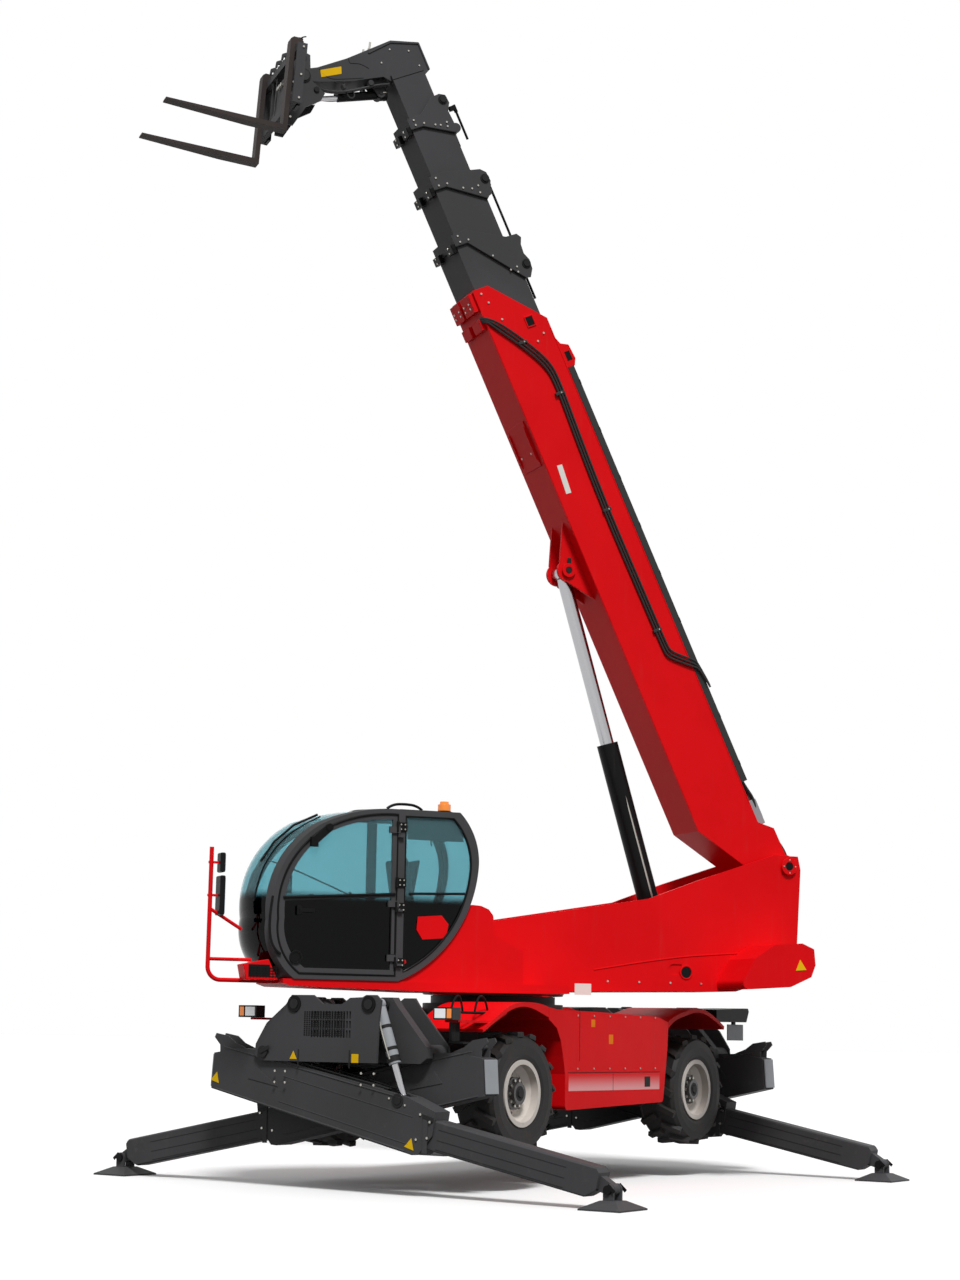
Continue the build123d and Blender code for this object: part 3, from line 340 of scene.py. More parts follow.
# modelling: a piece collects bmesh shapes in its own space, then rides on a body
class Piece:
    def __init__(self, name, body, look, place=None):
        found = (own for stem, own in bodySpaces.items() if body.startswith(stem))
        self.name, self.body, self.look, self.place = name, body, look, place or next(found, rowSpace)
        self.mesh = bmesh.new()

    def box(self, centre, size, turn=None):
        moved = Matrix.Translation(centre)
        if turn:
            moved = moved @ Matrix.Rotation(radians(turn[1]), 4, turn[0])
        bmesh.ops.create_cube(self.mesh, size=1, matrix=moved @ Matrix.Diagonal((*size, 1)))
        return self

    def drum(self, start, end, radius, tip=None, segments=20):
        start, end = Vector(start), Vector(end)
        run = end - start
        turned = run.to_track_quat("Z", "Y").to_matrix().to_4x4()
        bmesh.ops.create_cone(
            self.mesh, cap_ends=True, segments=segments, radius1=radius,
            radius2=radius if tip is None else tip, depth=run.length,
            matrix=Matrix.Translation((start + end) / 2) @ turned)
        return self

    def ring(self, centre, axis, inner, outer, depth, steps=28):  # a square section spun about an axis
        axis = Vector(axis)
        square = axis.orthogonal().normalized()
        corner = [Vector(centre) + square * r + axis * d for r, d in ((inner, 0), (outer, 0), (outer, depth),
            (inner, depth))]
        points = [self.mesh.verts.new(point) for point in corner]
        edges = [self.mesh.edges.new((points[k], points[k - 1])) for k in range(4)]
        bmesh.ops.spin(self.mesh, geom=points + edges, cent=centre, axis=axis, angle=2 * pi, steps=steps,
            use_merge=True)
        return self

    def ball(self, centre, radius, scale=(1, 1, 1)):
        bmesh.ops.create_uvsphere(
            self.mesh, u_segments=20, v_segments=12, radius=radius,
            matrix=Matrix.Translation(centre) @ Matrix.Diagonal((*scale, 1)))
        return self

    def plate(self, outline, low, high, across="Y"):  # outline square to the across axis
        flat = across == "X"
        shift = (high - low, 0, 0) if flat else (0, high - low, 0)
        face = self.mesh.faces.new([self.mesh.verts.new((low, a, b) if flat else (a, low, b)) for a,
            b in outline])
        grown = bmesh.ops.extrude_face_region(self.mesh, geom=[face], use_keep_orig=True)
        verts = [item for item in grown["geom"] if isinstance(item, bmesh.types.BMVert)]
        bmesh.ops.translate(self.mesh, verts=verts, vec=shift)
        return self

    def tube(self, points, radius, smooth=True):
        line = bpy.data.curves.new("line", "CURVE")
        line.dimensions = "3D"
        line.bevel_depth, line.bevel_resolution, line.resolution_u, line.use_fill_caps = radius, 2, 5, True
        spline = line.splines.new("NURBS" if smooth else "POLY")
        spline.points.add(len(points) - 1)
        for point, place in zip(spline.points, points):
            point.co = (*place, 1)
        if smooth:
            spline.order_u = 3
            spline.use_endpoint_u = True
        carrier = bpy.data.objects.new("line", line)
        mesh = bpy.data.meshes.new_from_object(carrier)
        self.mesh.from_mesh(mesh)
        bpy.data.objects.remove(carrier)
        bpy.data.curves.remove(line)
        bpy.data.meshes.remove(mesh)
        return self

    def bolts(self, places, out, radius=0.011, height=0.008):  # hexagon heads
        for point in places:
            self.drum(point, Vector(point) + Vector(out) * height, radius, radius * 0.9, segments=6)
        return self

    def pair(self, kind, *given, **named):  # the same shape on both sides of the middle
        for side in (1, -1):
            turned = [turnOver(item, side) for item in given[:turnedItems[kind]]]
            getattr(self, kind)(*turned, *given[turnedItems[kind]:], **named)
        return self

    def done(self, bevel=0.0, segments=2):
        bmesh.ops.remove_doubles(self.mesh, verts=self.mesh.verts, dist=0.00005)
        bmesh.ops.recalc_face_normals(self.mesh, faces=self.mesh.faces)
        data = bpy.data.meshes.new(self.name)
        self.mesh.to_mesh(data)
        self.mesh.free()
        data.transform(self.place)
        data.materials.append(materials[self.look])
        data.polygons.foreach_set("use_smooth", [True] * len(data.polygons))
        data.set_sharp_from_angle(angle=radians(32))
        made = bpy.data.objects.new(self.name, data)
        scene.collection.objects.link(made)
        if bevel:
            edge = made.modifiers.new("edges", "BEVEL")
            edge.width, edge.segments = bevel, segments
            edge.limit_method, edge.angle_limit = "ANGLE", radians(40)
            edge.harden_normals = True
        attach(made, self.body)
        return made


# boom: s along, v left, t above the pivot
hoseSettings = {
    "v": 0.299, "radius": 0.011, "shift": (0.020, 0.030), "clamps": (6.1, 5.47, 4.16, 2.80),
    "route": [(6.46, -0.742, 0.16), (6.47, -0.742, 0.26), (6.44, -0.70, 0.299), (6.36, -0.62, 0.299),
              (6.11, -0.43, 0.299), (5.82, -0.25, 0.299), (5.60, -0.215, 0.299), (4.90, -0.25, 0.299),
              (4.14, -0.27, 0.299), (3.30, -0.262, 0.299), (2.60, -0.255, 0.299), (2.52, -0.24, 0.299),
              (2.42, -0.13, 0.299), (2.33, -0.02, 0.303), (2.27, 0.03, 0.303), (2.05, 0.055, 0.303)],
}


def boomHoses(v, radius, shift, clamps, route):
    bundle = Piece("boomHoses", "boom_base", "hose")
    for k in (-1, 0, 1):
        bundle.tube([(s + k * shift[0], across, t + k * shift[1] * (1 if -0.7 < t < 0 else 0)) for s, t,
            across in route], radius)
    bundle.done()
    straps = Piece("boomHoseClamps", "boom_base", "plastic")
    heads = Piece("boomHoseClampBolts", "boom_base", "zinc")
    for s in clamps:
        t = -0.42 if s > 6 else -0.262 + 0.03 * max(0, s - 5)
        straps.box((s, 0.298, t), (0.032, 0.034, 0.104))
        heads.bolts([(s, 0.315, t + 0.015)], (0, 1, 0), 0.009, 0.006)
    straps.done(0.006)
    heads.done()


traySettings = {"start": 0.98, "end": 5.71, "v": 0.165, "width": 0.228, "floor": -0.028, "height": 0.075}


def topTray(start, end, v, width, floor, height):
    tray = Piece("topTray", "boom_base", "plastic")
    middle, run = (start + end) / 2, end - start
    tray.box((middle, v, floor + 0.003), (run, width, 0.006))
    for side in (1, -1):
        tray.box((middle, v + side * (width / 2 - 0.003), floor + height / 2), (run, 0.006, height))
    steps = 9
    for k in range(steps):
        s = start + 0.2 + k * (run - 0.4) / (steps - 1)
        tray.box((s, v, floor + height - 0.004), (0.05, width + 0.012, 0.008))
    tray.done(0.002)
    lines = Piece("topTrayHoses", "boom_base", "hose")
    for k in range(4):
        across = v - 0.06 + 0.04 * k
        lines.tube([(0.62, across * 0.8, 0.05), (0.75, across * 0.9, 0.08), (0.9, across, 0.03),
            (1.1, across, 0.0), (3.5, across, -0.004), (end - 0.1, across, 0.0), (end + 0.04, across, 0.02),
            (end + 0.09, across * 0.7, -0.012)], 0.013)
    lines.done()


valveSettings = {"at": (0.62, 0.03, 0.035), "size": (0.28, 0.34, 0.12), "spools": 5}


def pivotValve(at, size, spools):
    body = Piece("pivotValve", "boom_base", "pale")
    body.box(at, size).box((at[0] + 0.02, at[1], at[2] + 0.075), (0.2, 0.24, 0.03))
    for k in range(spools):
        v = at[1] - 0.12 + k * 0.06
        body.drum((at[0] + 0.14, v, at[2] + 0.02), (at[0] + 0.2, v, at[2] + 0.02), 0.02, segments=12)
    body.done(0.006)
    caps = Piece("pivotValveCaps", "boom_base", "zinc")
    for k in range(spools):
        v = at[1] - 0.12 + k * 0.06
        caps.drum((at[0] + 0.2, v, at[2] + 0.02), (at[0] + 0.235, v, at[2] + 0.02), 0.014, segments=6)
        caps.drum((at[0] - 0.14, v, at[2] + 0.03), (at[0] - 0.175, v, at[2] + 0.03), 0.016, segments=6)
    caps.done()
    bends = Piece("pivotValveHoses", "boom_base", "hose")
    for k in range(spools):
        v = at[1] - 0.12 + k * 0.06
        bends.tube([(at[0] - 0.17, v, at[2] + 0.03), (at[0] - 0.26, v, at[2] + 0.05),
            (at[0] - 0.34, v * 1.2, 0.15), (0.1, v * 1.5, 0.165), (-0.08, v * 1.6, 0.12),
            (-0.13, v * 1.6, 0.06), (-0.13, v * 1.6, 0.0)], 0.014)
    bends.done()


noseSettings = {
    "bolts": [(6.72, -0.64), (6.61, -0.60), (6.40, -0.53), (6.12, -0.14), (6.06, -0.24)],
    "blocks": [(6.66, -0.748), (6.42, -0.742)],
}


def boomNose(bolts, blocks):
    heads = Piece("noseBolts", "boom_base", "zinc")
    heads.pair("bolts", [(s, 0.28, t) for s, t in bolts], (0, 1, 0), 0.013, 0.01)
    heads.bolts([(6.62 + 0.05 * k, v, -0.776) for k in range(2) for v in (-0.2, -0.07, 0.07, 0.2)],
        (0, 0, -1), 0.012)
    heads.done()
    pads = Piece("nosePadHousings", "boom_base", "red")
    for v in (-0.14, 0.14):
        pads.box((blocks[0][0], v, blocks[0][1]), (0.2, 0.23, 0.056))
        pads.box((blocks[1][0], v, blocks[1][1]), (0.12, 0.2, 0.044))
    pads.pair("plate", [(5.69, -0.04), (5.69, 0.06), (5.76, 0.10), (5.92, 0.085), (5.96, 0.0), (6.06, -0.04)],
        0.2815, 0.2815 - 0.014)
    pads.box((5.82, 0.2, 0.02), (0.20, 0.15, 0.10))
    pads.done(0.006)
    window = Piece("noseWindow", "boom_base", "black")
    window.pair("box", (6.285, 0.282, -0.235), (0.10, 0.006, 0.085))
    window.pair("box", (5.81, 0.283, 0.03), (0.10, 0.006, 0.06))
    window.done(0.002)
    frameRim = Piece("noseWindowFrame", "boom_base", "red")
    for ds, dt, size in ((0.055, 0, (0.012, 0.012, 0.1)), (-0.055, 0, (0.012, 0.012, 0.1)),
                         (0, 0.047, (0.12, 0.012, 0.012)), (0, -0.047, (0.12, 0.012, 0.012))):
        frameRim.pair("box", (6.285 + ds, 0.284, -0.235 + dt), size)
    frameRim.done(0.003)


boomSideSettings = {"plate": (4.62, -0.58, 0.31, 0.062, -5.0), "gusset": (4.82, 5.37, 0.026)}


def boomSides(plate, gusset):
    s, t, length, height, lean = plate
    Piece("boomBlankPlate", "boom_base", "white").box((s, 0.2815, t), (length, 0.003, height),
        ("Y", lean)).done(0.001)
    ribs = Piece("boomBellyGussets", "boom_base", "red")
    low, high, depth = gusset
    ribs.pair("plate", [(low, -0.715), (low + 0.12, -0.72 - depth), (high - 0.12, -0.72 - depth),
        (high, -0.715)], 0.2, 0.18)
    ribs.box((5.09, 0, -0.726), (0.5, 0.42, 0.012))
    # weld seams where the side plates meet the top and bottom plates
    ribs.pair("box", (3.7, 0.2815, -0.712), (5.6, 0.007, 0.008)).pair("box", (3.45, 0.2815, -0.038),
        (5.4, 0.007, 0.008))
    ribs.done(0.003)
    heads = Piece("boomCoverBolts", "boom_base", "zinc")
    heads.bolts([(5.0, v, -0.732) for v in (-0.12, 0.12)], (0, 0, -1))
    heads.bolts([(0.85 + 0.3 * k, side * 0.24, -0.03) for k in range(3) for side in (1, -1)], (0, 0, 1))
    heads.done()
    ears = Piece("liftEarCaps", "boom_base", "red")
    ears.pair("ring", (3.73, 0.162, -0.88), (0, 1, 0), 0.036, 0.074, 0.014)
    ears.done(0.003)
    pins = Piece("liftEyePin", "boom_base", "dark")
    pins.pair("drum", (3.73, 0.166, -0.88), (3.73, 0.178, -0.88), 0.031)
    pins.pair("box", (3.80, 0.168, -0.84), (0.1, 0.012, 0.04), ("Y", -25))
    pins.done(0.003)


# body, half width, low start and end, high start and end, bottom, top
collarSettings = {
    "boom_second": (0.264, 7.27, 7.40, 6.73, 6.86, -0.676, -0.07),
    "boom_third": (0.236, 7.90, 8.05, 7.65, 7.80, -0.636, -0.108),
    "boom_fourth": (0.208, 8.58, 8.70, 8.42, 8.54, -0.598, -0.146),
}
lugSettings = {  # from the low end of the top edge round to the high end
    "boom_second": [(6.72, -0.01), (6.80, 0.045), (6.90, 0.055), (6.98, 0.02), (7.08, 0.03), (7.15, 0.065),
                    (7.20, 0.03), (7.205, -0.10)],
    "boom_third": [(7.66, -0.09), (7.71, -0.05), (7.82, 0.005), (7.92, -0.005), (7.97, -0.06), (7.99, -0.16)],
    "boom_fourth": [(8.44, -0.12), (8.48, -0.11), (8.66, -0.125), (8.74, -0.075), (8.83, -0.085),
                    (8.86, -0.15), (8.85, -0.25)],
}
lugPins = {"boom_second": (6.87, 0.0), "boom_third": (7.86, -0.05), "boom_fourth": (8.79, -0.135)}


def collarPieces(body, half, lowStart, lowEnd, highStart, highEnd, bottom, top):
    stem = body.replace("boom_", "")
    # painted shade: a black line along the collar cheek's lower edge
    collarEdgeShade = Piece(stem + "CollarSeam", body, "black")
    v = half + 0.0005
    collarEdgeShade.pair("tube", [(lowStart, v, bottom - 0.012), (lowStart, v, bottom + 0.13), (highStart, v, top)],
        0.008, False)
    collarEdgeShade.done()
    heads = Piece(stem + "CollarBolts", body, "zinc")
    places = [(lowStart + 0.035, bottom + 0.05), (lowEnd - 0.03, bottom + 0.05),
        (lowStart + 0.03, bottom + 0.15), (highStart + 0.085, top - 0.06), (highEnd + 0.01, top - 0.05),
        (highEnd, top - 0.13), ((lowStart + highStart) / 2 + 0.06, (bottom + top) / 2 + 0.04)]
    heads.pair("bolts", [(s, half, t) for s, t in places], (0, 1, 0), 0.012, 0.011)
    heads.pair("bolts", [(lowStart + d, half - 0.09, bottom - 0.062) for d in (-0.03, 0.02)], (0, 0, -1),
        0.011)
    heads.done()
    pads = Piece(stem + "WearPads", body, "black")
    pads.pair("box", (lowStart - 0.005, half - 0.085, bottom - 0.038), (0.09, 0.15, 0.048))
    pads.pair("box", (lowStart + 0.01, half - 0.02, bottom - 0.03), (0.05, 0.03, 0.05))
    pads.done(0.005)
    lugs = Piece(stem + "CollarCheeks", body, "grey")
    foot = [(highStart, top), (lowStart, bottom + 0.13), (lowStart, bottom), (lowEnd, bottom),
        (lowEnd + 0.01, bottom + 0.16)]
    lugs.pair("plate", lugSettings[body] + foot[::-1], half + 0.0016, half + 0.0016 - 0.012)
    lugs.done(0.002)
    s, t = lugPins[body]
    pins = Piece(stem + "ChainPins", body, "dark")
    pins.pair("drum", (s, half - 0.03, t), (s, half + 0.022, t), 0.036)
    pins.pair("ring", (s, half + 0.001, t), (0, 1, 0), 0.038, 0.05, 0.01, 24)
    pins.done(0.002)


rodSettings = {"boom_third": (7.86, 7.02, 0.045, 0.0), "boom_fourth": (8.70, 8.33, 0.0, 0.03),
    "boom_second": (6.87, 6.52, 0.05, -0.04)}


def chainRods(settings):
    for body, (start, end, t, shift) in settings.items():
        rod = Piece(body.replace("boom_", "") + "ChainRod", body, "black")
        for v in (-0.12 + shift, 0.10 + shift):
            rod.drum((start, v, t), (end, v, t), 0.013, segments=14)
            rod.drum((start - 0.06, v, t), (start + 0.02, v, t), 0.022, segments=6)
            rod.box((start - 0.01, v, t - 0.035), (0.05, 0.04, 0.06))
        rod.done(0.002)


headSettings = {
    "plate": [(9.465, -1.285), (9.44, -1.045), (9.365, -1.075), (9.39, -1.305)],
    "pins": [((9.50, -0.70), (9.60, -0.635)), ((9.53, -0.64), (9.625, -0.58))],
    "hoses": [(9.125, -0.60), (9.145, -0.68), (9.16, -0.80), (9.17, -1.02), (9.20, -1.20), (9.27, -1.36),
              (9.36, -1.42)],
}


def boomHead(plate, pins, hoses):
    label = Piece("headBlankPlate", "boom_head", "yellow")
    label.pair("plate", plate, 0.1402, 0.1432)
    label.done(0.001)
    lines = Piece("headSeams", "boom_head", "black")
    v = 0.1405
    lines.pair("tube", [(9.15, 0.1665, -0.575), (9.152, 0.1665, -0.19)], 0.004, False)
    lines.pair("tube", [(9.50, v, -0.93), (9.45, v, -0.95), (9.435, v, -0.90), (9.41, v, -0.82),
        (9.34, v, -0.76)], 0.003)
    lines.pair("tube", [(9.48, v, -1.29), (9.36, v, -1.27), (9.30, v, -1.05), (9.26, v, -0.86)], 0.003)
    lines.done()
    studs = Piece("headStuds", "boom_head", "zinc")
    for v, (low, high) in zip((-0.05, 0.05), pins):
        studs.drum((low[0], v, low[1]), (high[0], v, high[1]), 0.011, segments=12)
        studs.drum((low[0] + 0.01, v, low[1] + 0.008), (low[0] + 0.03, v, low[1] + 0.022), 0.02, segments=6)
    studs.pair("bolts", [(9.22, 0.14, -0.2), (9.4, 0.14, -0.25), (9.47, 0.14, -0.45)], (0, 1, 0))
    studs.pair("bolts", [(9.19, 0.14, -0.50), (9.36, 0.14, -0.60)], (0, 1, 0))
    studs.done()
    under = Piece("headHoses", "boom_head", "hose")
    for v in (-0.125, -0.095, 0.095, 0.125):
        under.tube([(s, v, t) for s, t in hoses], 0.0115)
    under.tube([(9.20, 0.1, -1.08), (9.12, 0.12, -1.10), (9.09, 0.13, -1.05), (9.13, 0.12, -1.01),
        (9.18, 0.1, -1.02)], 0.007)
    under.done()
    straps = Piece("headHoseClamps", "boom_head", "plastic")
    for s, t in ((9.19, -0.80), (9.235, -1.10)):
        for v in (-0.11, 0.11):
            straps.box((s, v, t), (0.05, 0.07, 0.03))
    straps.pair("drum", (9.19, 0.14, -0.80), (9.19, 0.15, -0.80), 0.03)
    straps.pair("drum", (9.45, 0.19, -1.5), (9.45, 0.2, -1.5), 0.06)
    straps.done(0.003)
    flange = Piece("headFlanges", "boom_head", "grey")
    flange.pair("plate", [(9.15, -0.10), (9.45, -0.10), (9.548, -0.41), (9.50, -0.70), (9.488, -0.69),
        (9.532, -0.41), (9.44, -0.118), (9.15, -0.118)], 0.14, 0.15)
    flange.done(0.003)


boomHoses(**hoseSettings)
topTray(**traySettings)
pivotValve(**valveSettings)
boomNose(**noseSettings)
boomSides(**boomSideSettings)
for collarBody, collarValues in collarSettings.items():
    collarPieces(collarBody, *collarValues)
chainRods(rodSettings)
boomHead(**headSettings)
print("boom dressed")


# carriage: x along the blades, v left, y up the mast
carriageSettings = {"barX": 0.15, "barThick": 0.056, "forks": (0.45, -0.53), "hooks": (-0.30, -0.10, 0.10,
    0.30)}


def carriagePieces(barX, barThick, forks, hooks):
    caps = Piece("couplerPinCaps", "coupler", "dark")
    caps.pair("ring", (0, 0.18, 0), (0, 1, 0), 0.044, 0.075, 0.012)
    caps.pair("drum", (-0.15, 0.181, -0.12), (-0.15, 0.196, -0.12), 0.03)
    caps.pair("drum", (0.02, 0.181, 0.19), (0.02, 0.2, 0.19), 0.028)
    caps.done(0.003)
    hookPiece = Piece("carriageHooks", "coupler", "grey")
    for v in hooks:
        hookPiece.plate([(barX - 0.03, 0.13), (barX - 0.02, 0.20), (barX + 0.03, 0.235), (barX + 0.075, 0.21),
            (barX + 0.08, 0.15), (barX + 0.06, 0.14), (barX + 0.055, 0.18), (barX + 0.02, 0.185),
            (barX + 0.01, 0.13)], v - 0.014, v + 0.014)
    for k in range(15):
        hookPiece.box((barX + 0.045, -0.56 + k * 0.08, 0.146), (0.02, 0.03, 0.016))
    hookPiece.box((barX + 0.012, 0, -0.2), (0.02, 0.34, 0.34)).box((barX, 0, -0.34), (0.05, 1.0, 0.04))
    hookPiece.done(0.004)
    latches = Piece("forkLatches", "coupler", "black")
    for v in forks:
        latches.drum((barX, v, 0.165), (barX, v, 0.245), 0.020, segments=16)
        latches.ring((barX, v, 0.235), (0, 0, 1), 0.020, 0.034, 0.014, 20)
        latches.tube([(barX, v, 0.245), (barX - 0.02, v + 0.02, 0.268), (barX - 0.05, v + 0.05, 0.262)],
            0.007)
        latches.box((barX - 0.03, v, -0.455), (0.03, 0.15, 0.09))
    latches.done(0.003)
    couplings = Piece("quickCouplings", "coupler", "zinc")
    for k in range(3):
        couplings.drum((barX - 0.03, -0.06 + k * 0.06, -0.10), (barX + 0.03, -0.06 + k * 0.06, -0.10), 0.018,
            segments=12)
        couplings.drum((barX + 0.03, -0.06 + k * 0.06, -0.10), (barX + 0.05, -0.06 + k * 0.06, -0.10), 0.023,
            segments=6)
    couplings.pair("bolts", [(x, 0.18, y) for x, y in ((0.08, 0.2), (0.1, -0.1), (0.1, -0.3), (0.1, -0.48))],
        (0, 1, 0), 0.014, 0.01)
    couplings.pair("bolts", [(barX - 0.005, 0.6, y) for y in (0.1, -0.2, -0.45)], (0, 1, 0), 0.013, 0.01)
    couplings.done()
    hoses = Piece("carriageHoses", "coupler", "hose")
    for k in range(3):
        v = -0.06 + k * 0.06
        hoses.tube([(barX - 0.03, v, -0.10), (barX - 0.09, v, -0.11), (barX - 0.14, v * 1.3, -0.18),
            (barX - 0.13, v * 1.5, -0.26), (barX - 0.06, v * 1.4, -0.31), (barX, v, -0.33)], 0.010)
    hoses.done()
    pads = Piece("forkPads", "coupler", "fork")
    shank = barX + barThick
    for v in forks:
        pads.plate([(shank - 0.075, 0.155), (shank - 0.088, 0.20), (shank - 0.05, 0.232),
            (shank + 0.02, 0.235), (shank + 0.05, 0.21), (shank + 0.05, 0.17)], v - 0.058, v + 0.058)
        pads.drum((shank + 0.07, v - 0.06, -0.752), (shank + 0.07, v + 0.06, -0.752), 0.024)
    pads.done(0.006)


carriagePieces(**carriageSettings)
print("carriage dressed")


# turret: u ahead, v left, z up from the ground
skirtSettings = {"low": 1.79, "high": 1.838, "inner": 0.655, "outer": 0.70, "bolts": 44}


def slewSkirt(low, high, inner, outer, bolts):
    skirt = Piece("slewSkirt", "turret", "black")
    skirt.ring((0, 0, low), (0, 0, 1), inner, outer, high - low, 72)
    skirt.done(0.004)
    heads = Piece("slewSkirtBolts", "turret", "zinc")
    for k in range(bolts):
        turn = 2 * pi * k / bolts
        out = Vector((cos(turn), sin(turn), 0))
        heads.bolts([out * outer + Vector((0, 0, (low + high) / 2))], out, 0.010, 0.008)
    heads.done()


tailSettings = {
    "plate": ((-0.78, 0.452, 1.865), (0.18, 0.004, 0.11)), "pocket": (-1.93, 2.06),
    "triangle": [(-3.0, 2.10), (-2.88, 2.09), (-2.93, 2.20)], "lamps": (-3.02, 2.16),
}


def tailPieces(plate, pocket, triangle, lamps):
    Piece("tailBlankPlate", "turret", "white").box(*plate).done(0.001)
    warn = Piece("tailBlankTriangles", "turret", "yellow")
    warn.pair("plate", triangle, 1.010, 1.016)
    warn.done()
    rims = Piece("boomPivotRims", "turret", "red")
    caps = Piece("boomPivotHoleShades", "turret", "black")
    rims.pair("ring", (-3.12, 0.472, 3.18), (0, 1, 0), 0.045, 0.09, 0.014)
    rims.pair("ring", (pocket[0], 0.452, pocket[1]), (0, 1, 0), 0.058, 0.072, 0.008)
    # painted shade: black discs stand for the dark inside the pivot's hole and the oval pocket
    caps.pair("drum", (-3.12, 0.460, 3.18), (-3.12, 0.482, 3.18), 0.048)
    caps.pair("drum", (pocket[0], 0.448, pocket[1]), (pocket[0], 0.4525, pocket[1]), 0.058)
    rims.done(0.003)
    caps.done(0.003)
    heads = Piece("turretBolts", "turret", "zinc")
    heads.pair("bolts", [(-3.12 + 0.068 * cos(k * pi / 2), 0.486,
        3.18 + 0.068 * sin(k * pi / 2)) for k in range(4)], (0, 1, 0), 0.008, 0.006)
    heads.pair("bolts", [(-2.1 + 0.35 * k, 0.45, 1.95) for k in range(4)], (0, 1, 0), 0.012, 0.008)
    heads.pair("bolts", [(-0.42 + 0.056 * k, 0.45, 1.852) for k in range(15)], (0, 1, 0), 0.013, 0.012)
    heads.done()
    seams = Piece("cheekWelds", "turret", "red")
    seams.pair("tube", [(-2.95, 0.452, 2.3), (-2.4, 0.452, 2.26), (-1.7, 0.452, 2.2), (-0.9, 0.452, 2.06)],
        0.006)
    seams.done()
    lenses = Piece("tailLamps", "turret", "redLens")
    frames = Piece("tailLampFrames", "turret", "black")
    frames.pair("box", (lamps[0] - 0.075, 0.86, lamps[1]), (0.05, 0.20, 0.10))
    lenses.pair("box", (lamps[0] - 0.100, 0.86, lamps[1]), (0.012, 0.17, 0.075))
    frames.done(0.006)
    lenses.done(0.005)


cheekSettings = {"hoses": 6, "start": (-2.75, 2.05), "valve": ((-1.10, 0.0, 1.915), (0.5, 0.42, 0.10))}


def betweenCheeks(hoses, start, valve):
    block = Piece("mainValve", "turret", "dark")
    block.box(*valve)
    for k in range(7):
        u = valve[0][0] - 0.2 + 0.066 * k
        block.drum((u, 0.21, 1.92), (u, 0.26, 1.92), 0.026, segments=14).drum((u, -0.21, 1.92),
            (u, -0.27, 1.92), 0.03)
    block.done(0.006)
    lines = Piece("turretHoses", "turret", "hose")
    for k in range(hoses):
        v = (0.19 + 0.045 * (k // 2)) * (1 if k % 2 else -1)
        lines.tube([(-1.36, v, 1.91), (-1.55, v, 1.90), (-1.9, v * 1.05, 1.93), (-2.3, v * 1.05, 1.98),
            (start[0], v, start[1])], 0.016)
    lines.done()
    unions = Piece("mainValveUnions", "turret", "zinc")
    for k in range(hoses):
        v = (0.19 + 0.045 * (k // 2)) * (1 if k % 2 else -1)
        unions.drum((-1.34, v, 1.91), (-1.375, v, 1.91), 0.021, segments=6)
    unions.done()


badgeSettings = {
    "outline": [(2.60, 1.862), (2.90, 1.862), (2.93, 2.0), (2.69, 2.05)], "v": (0.95, 1.16),
    "mirrors": [(2.92, 0.17, 0.13), (2.62, 0.35, 0.17)],
}


def deckPieces(outline, v, mirrors):
    grid = Piece("stepGrid", "turret", "black")
    for k in range(9):
        grid.box((2.62 + 0.03 * k, v[1] + 0.004, 1.93), (0.008, 0.004, 0.09))
    for k in range(4):
        grid.box((2.74, v[1] + 0.004, 1.895 + 0.025 * k), (0.26, 0.004, 0.006))
    grid.box((2.78, v[1] + 0.001, 1.945), (0.20, 0.004, 0.11))
    grid.done()
    shells = Piece("mirrorShells", "turret", "black")
    faces = Piece("mirrorFaces", "turret", "mirror")
    for z, height, width in mirrors:
        shells.box((3.11, 0.95, z), (0.05, width, height + 0.01))
        faces.box((3.084, 0.95, z), (0.004, width - 0.03, height - 0.03))
    shells.done(0.014, 3)
    faces.done(0.001)
    Piece("badgeBox", "turret", "red").plate(outline, *v).done(0.006)


cabSettings = {
    "v": 1.2,
    "hinges": (3.31, 2.79, 2.56, 2.05), "belt": [(2.585, 2.612), (1.50, 2.682)], "rearBelt": [(1.36, 2.69),
    (0.80, 2.71)],
    "wiper": [(2.14, 3.30), (2.29, 3.165), (2.51, 3.075), (2.655, 2.92), (2.725, 2.75), (2.795, 2.58)],
    "handle": [(1.57, 3.485), (1.52, 3.525), (1.40, 3.535), (1.27, 3.525), (1.22, 3.485)],
}


def openings(node, v):  # the edges of the holes in a node's side plate, as loops in turret axes
    mesh = bmesh.new()
    mesh.from_mesh(frame["nodes"][node].data)
    mesh.transform(turretSpace.inverted() @ frame["nodes"][node].matrix_world)
    bmesh.ops.remove_doubles(mesh, verts=mesh.verts, dist=0.0002)
    mesh.normal_update()
    flat = {face for face in mesh.faces if face.normal.y > 0.98 and face.calc_center_median().y > v - 0.03}
    rims = [edge for edge in mesh.edges if len(flat.intersection(edge.link_faces)) == 1]  # in a fixed order
    loops = []
    while rims:
        edge = rims.pop(0)
        start, tip = edge.verts
        loop = [start.co.copy(), tip.co.copy()]
        while tip is not start:
            following = next((other for other in tip.link_edges if other in rims), None)
            if following is None:
                break
            rims.remove(following)
            tip = following.other_vert(tip)
            loop.append(tip.co.copy())
        loops.append(loop)
    widest = max(loops, key=lambda loop: max(p.x for p in loop) - min(p.x for p in loop))
    mesh.free()
    leastHeight = 0.2  # a lower loop is left out
    heights = [max(p.z for p in loop) - min(p.z for p in loop) for loop in loops]
    return [loop for loop, tall in zip(loops, heights) if loop is not widest and tall > leastHeight]


def onGlass(points, lift):  # points pushed out onto the cab glass, from the cab's centre
    glassNode = frame["nodes"]["cab_glass"]
    centre = turretSpace @ Vector((1.70, 0.90, 2.68))
    placed = []
    for point in points:
        place = turretSpace @ Vector(point)
        ray = (place - centre).normalized()
        found, spot, normal, _ = glassNode.ray_cast(centre + ray * 3, -ray)
        if found:
            placed.append(turretSpace.inverted() @ (spot + ray * lift))
    return placed


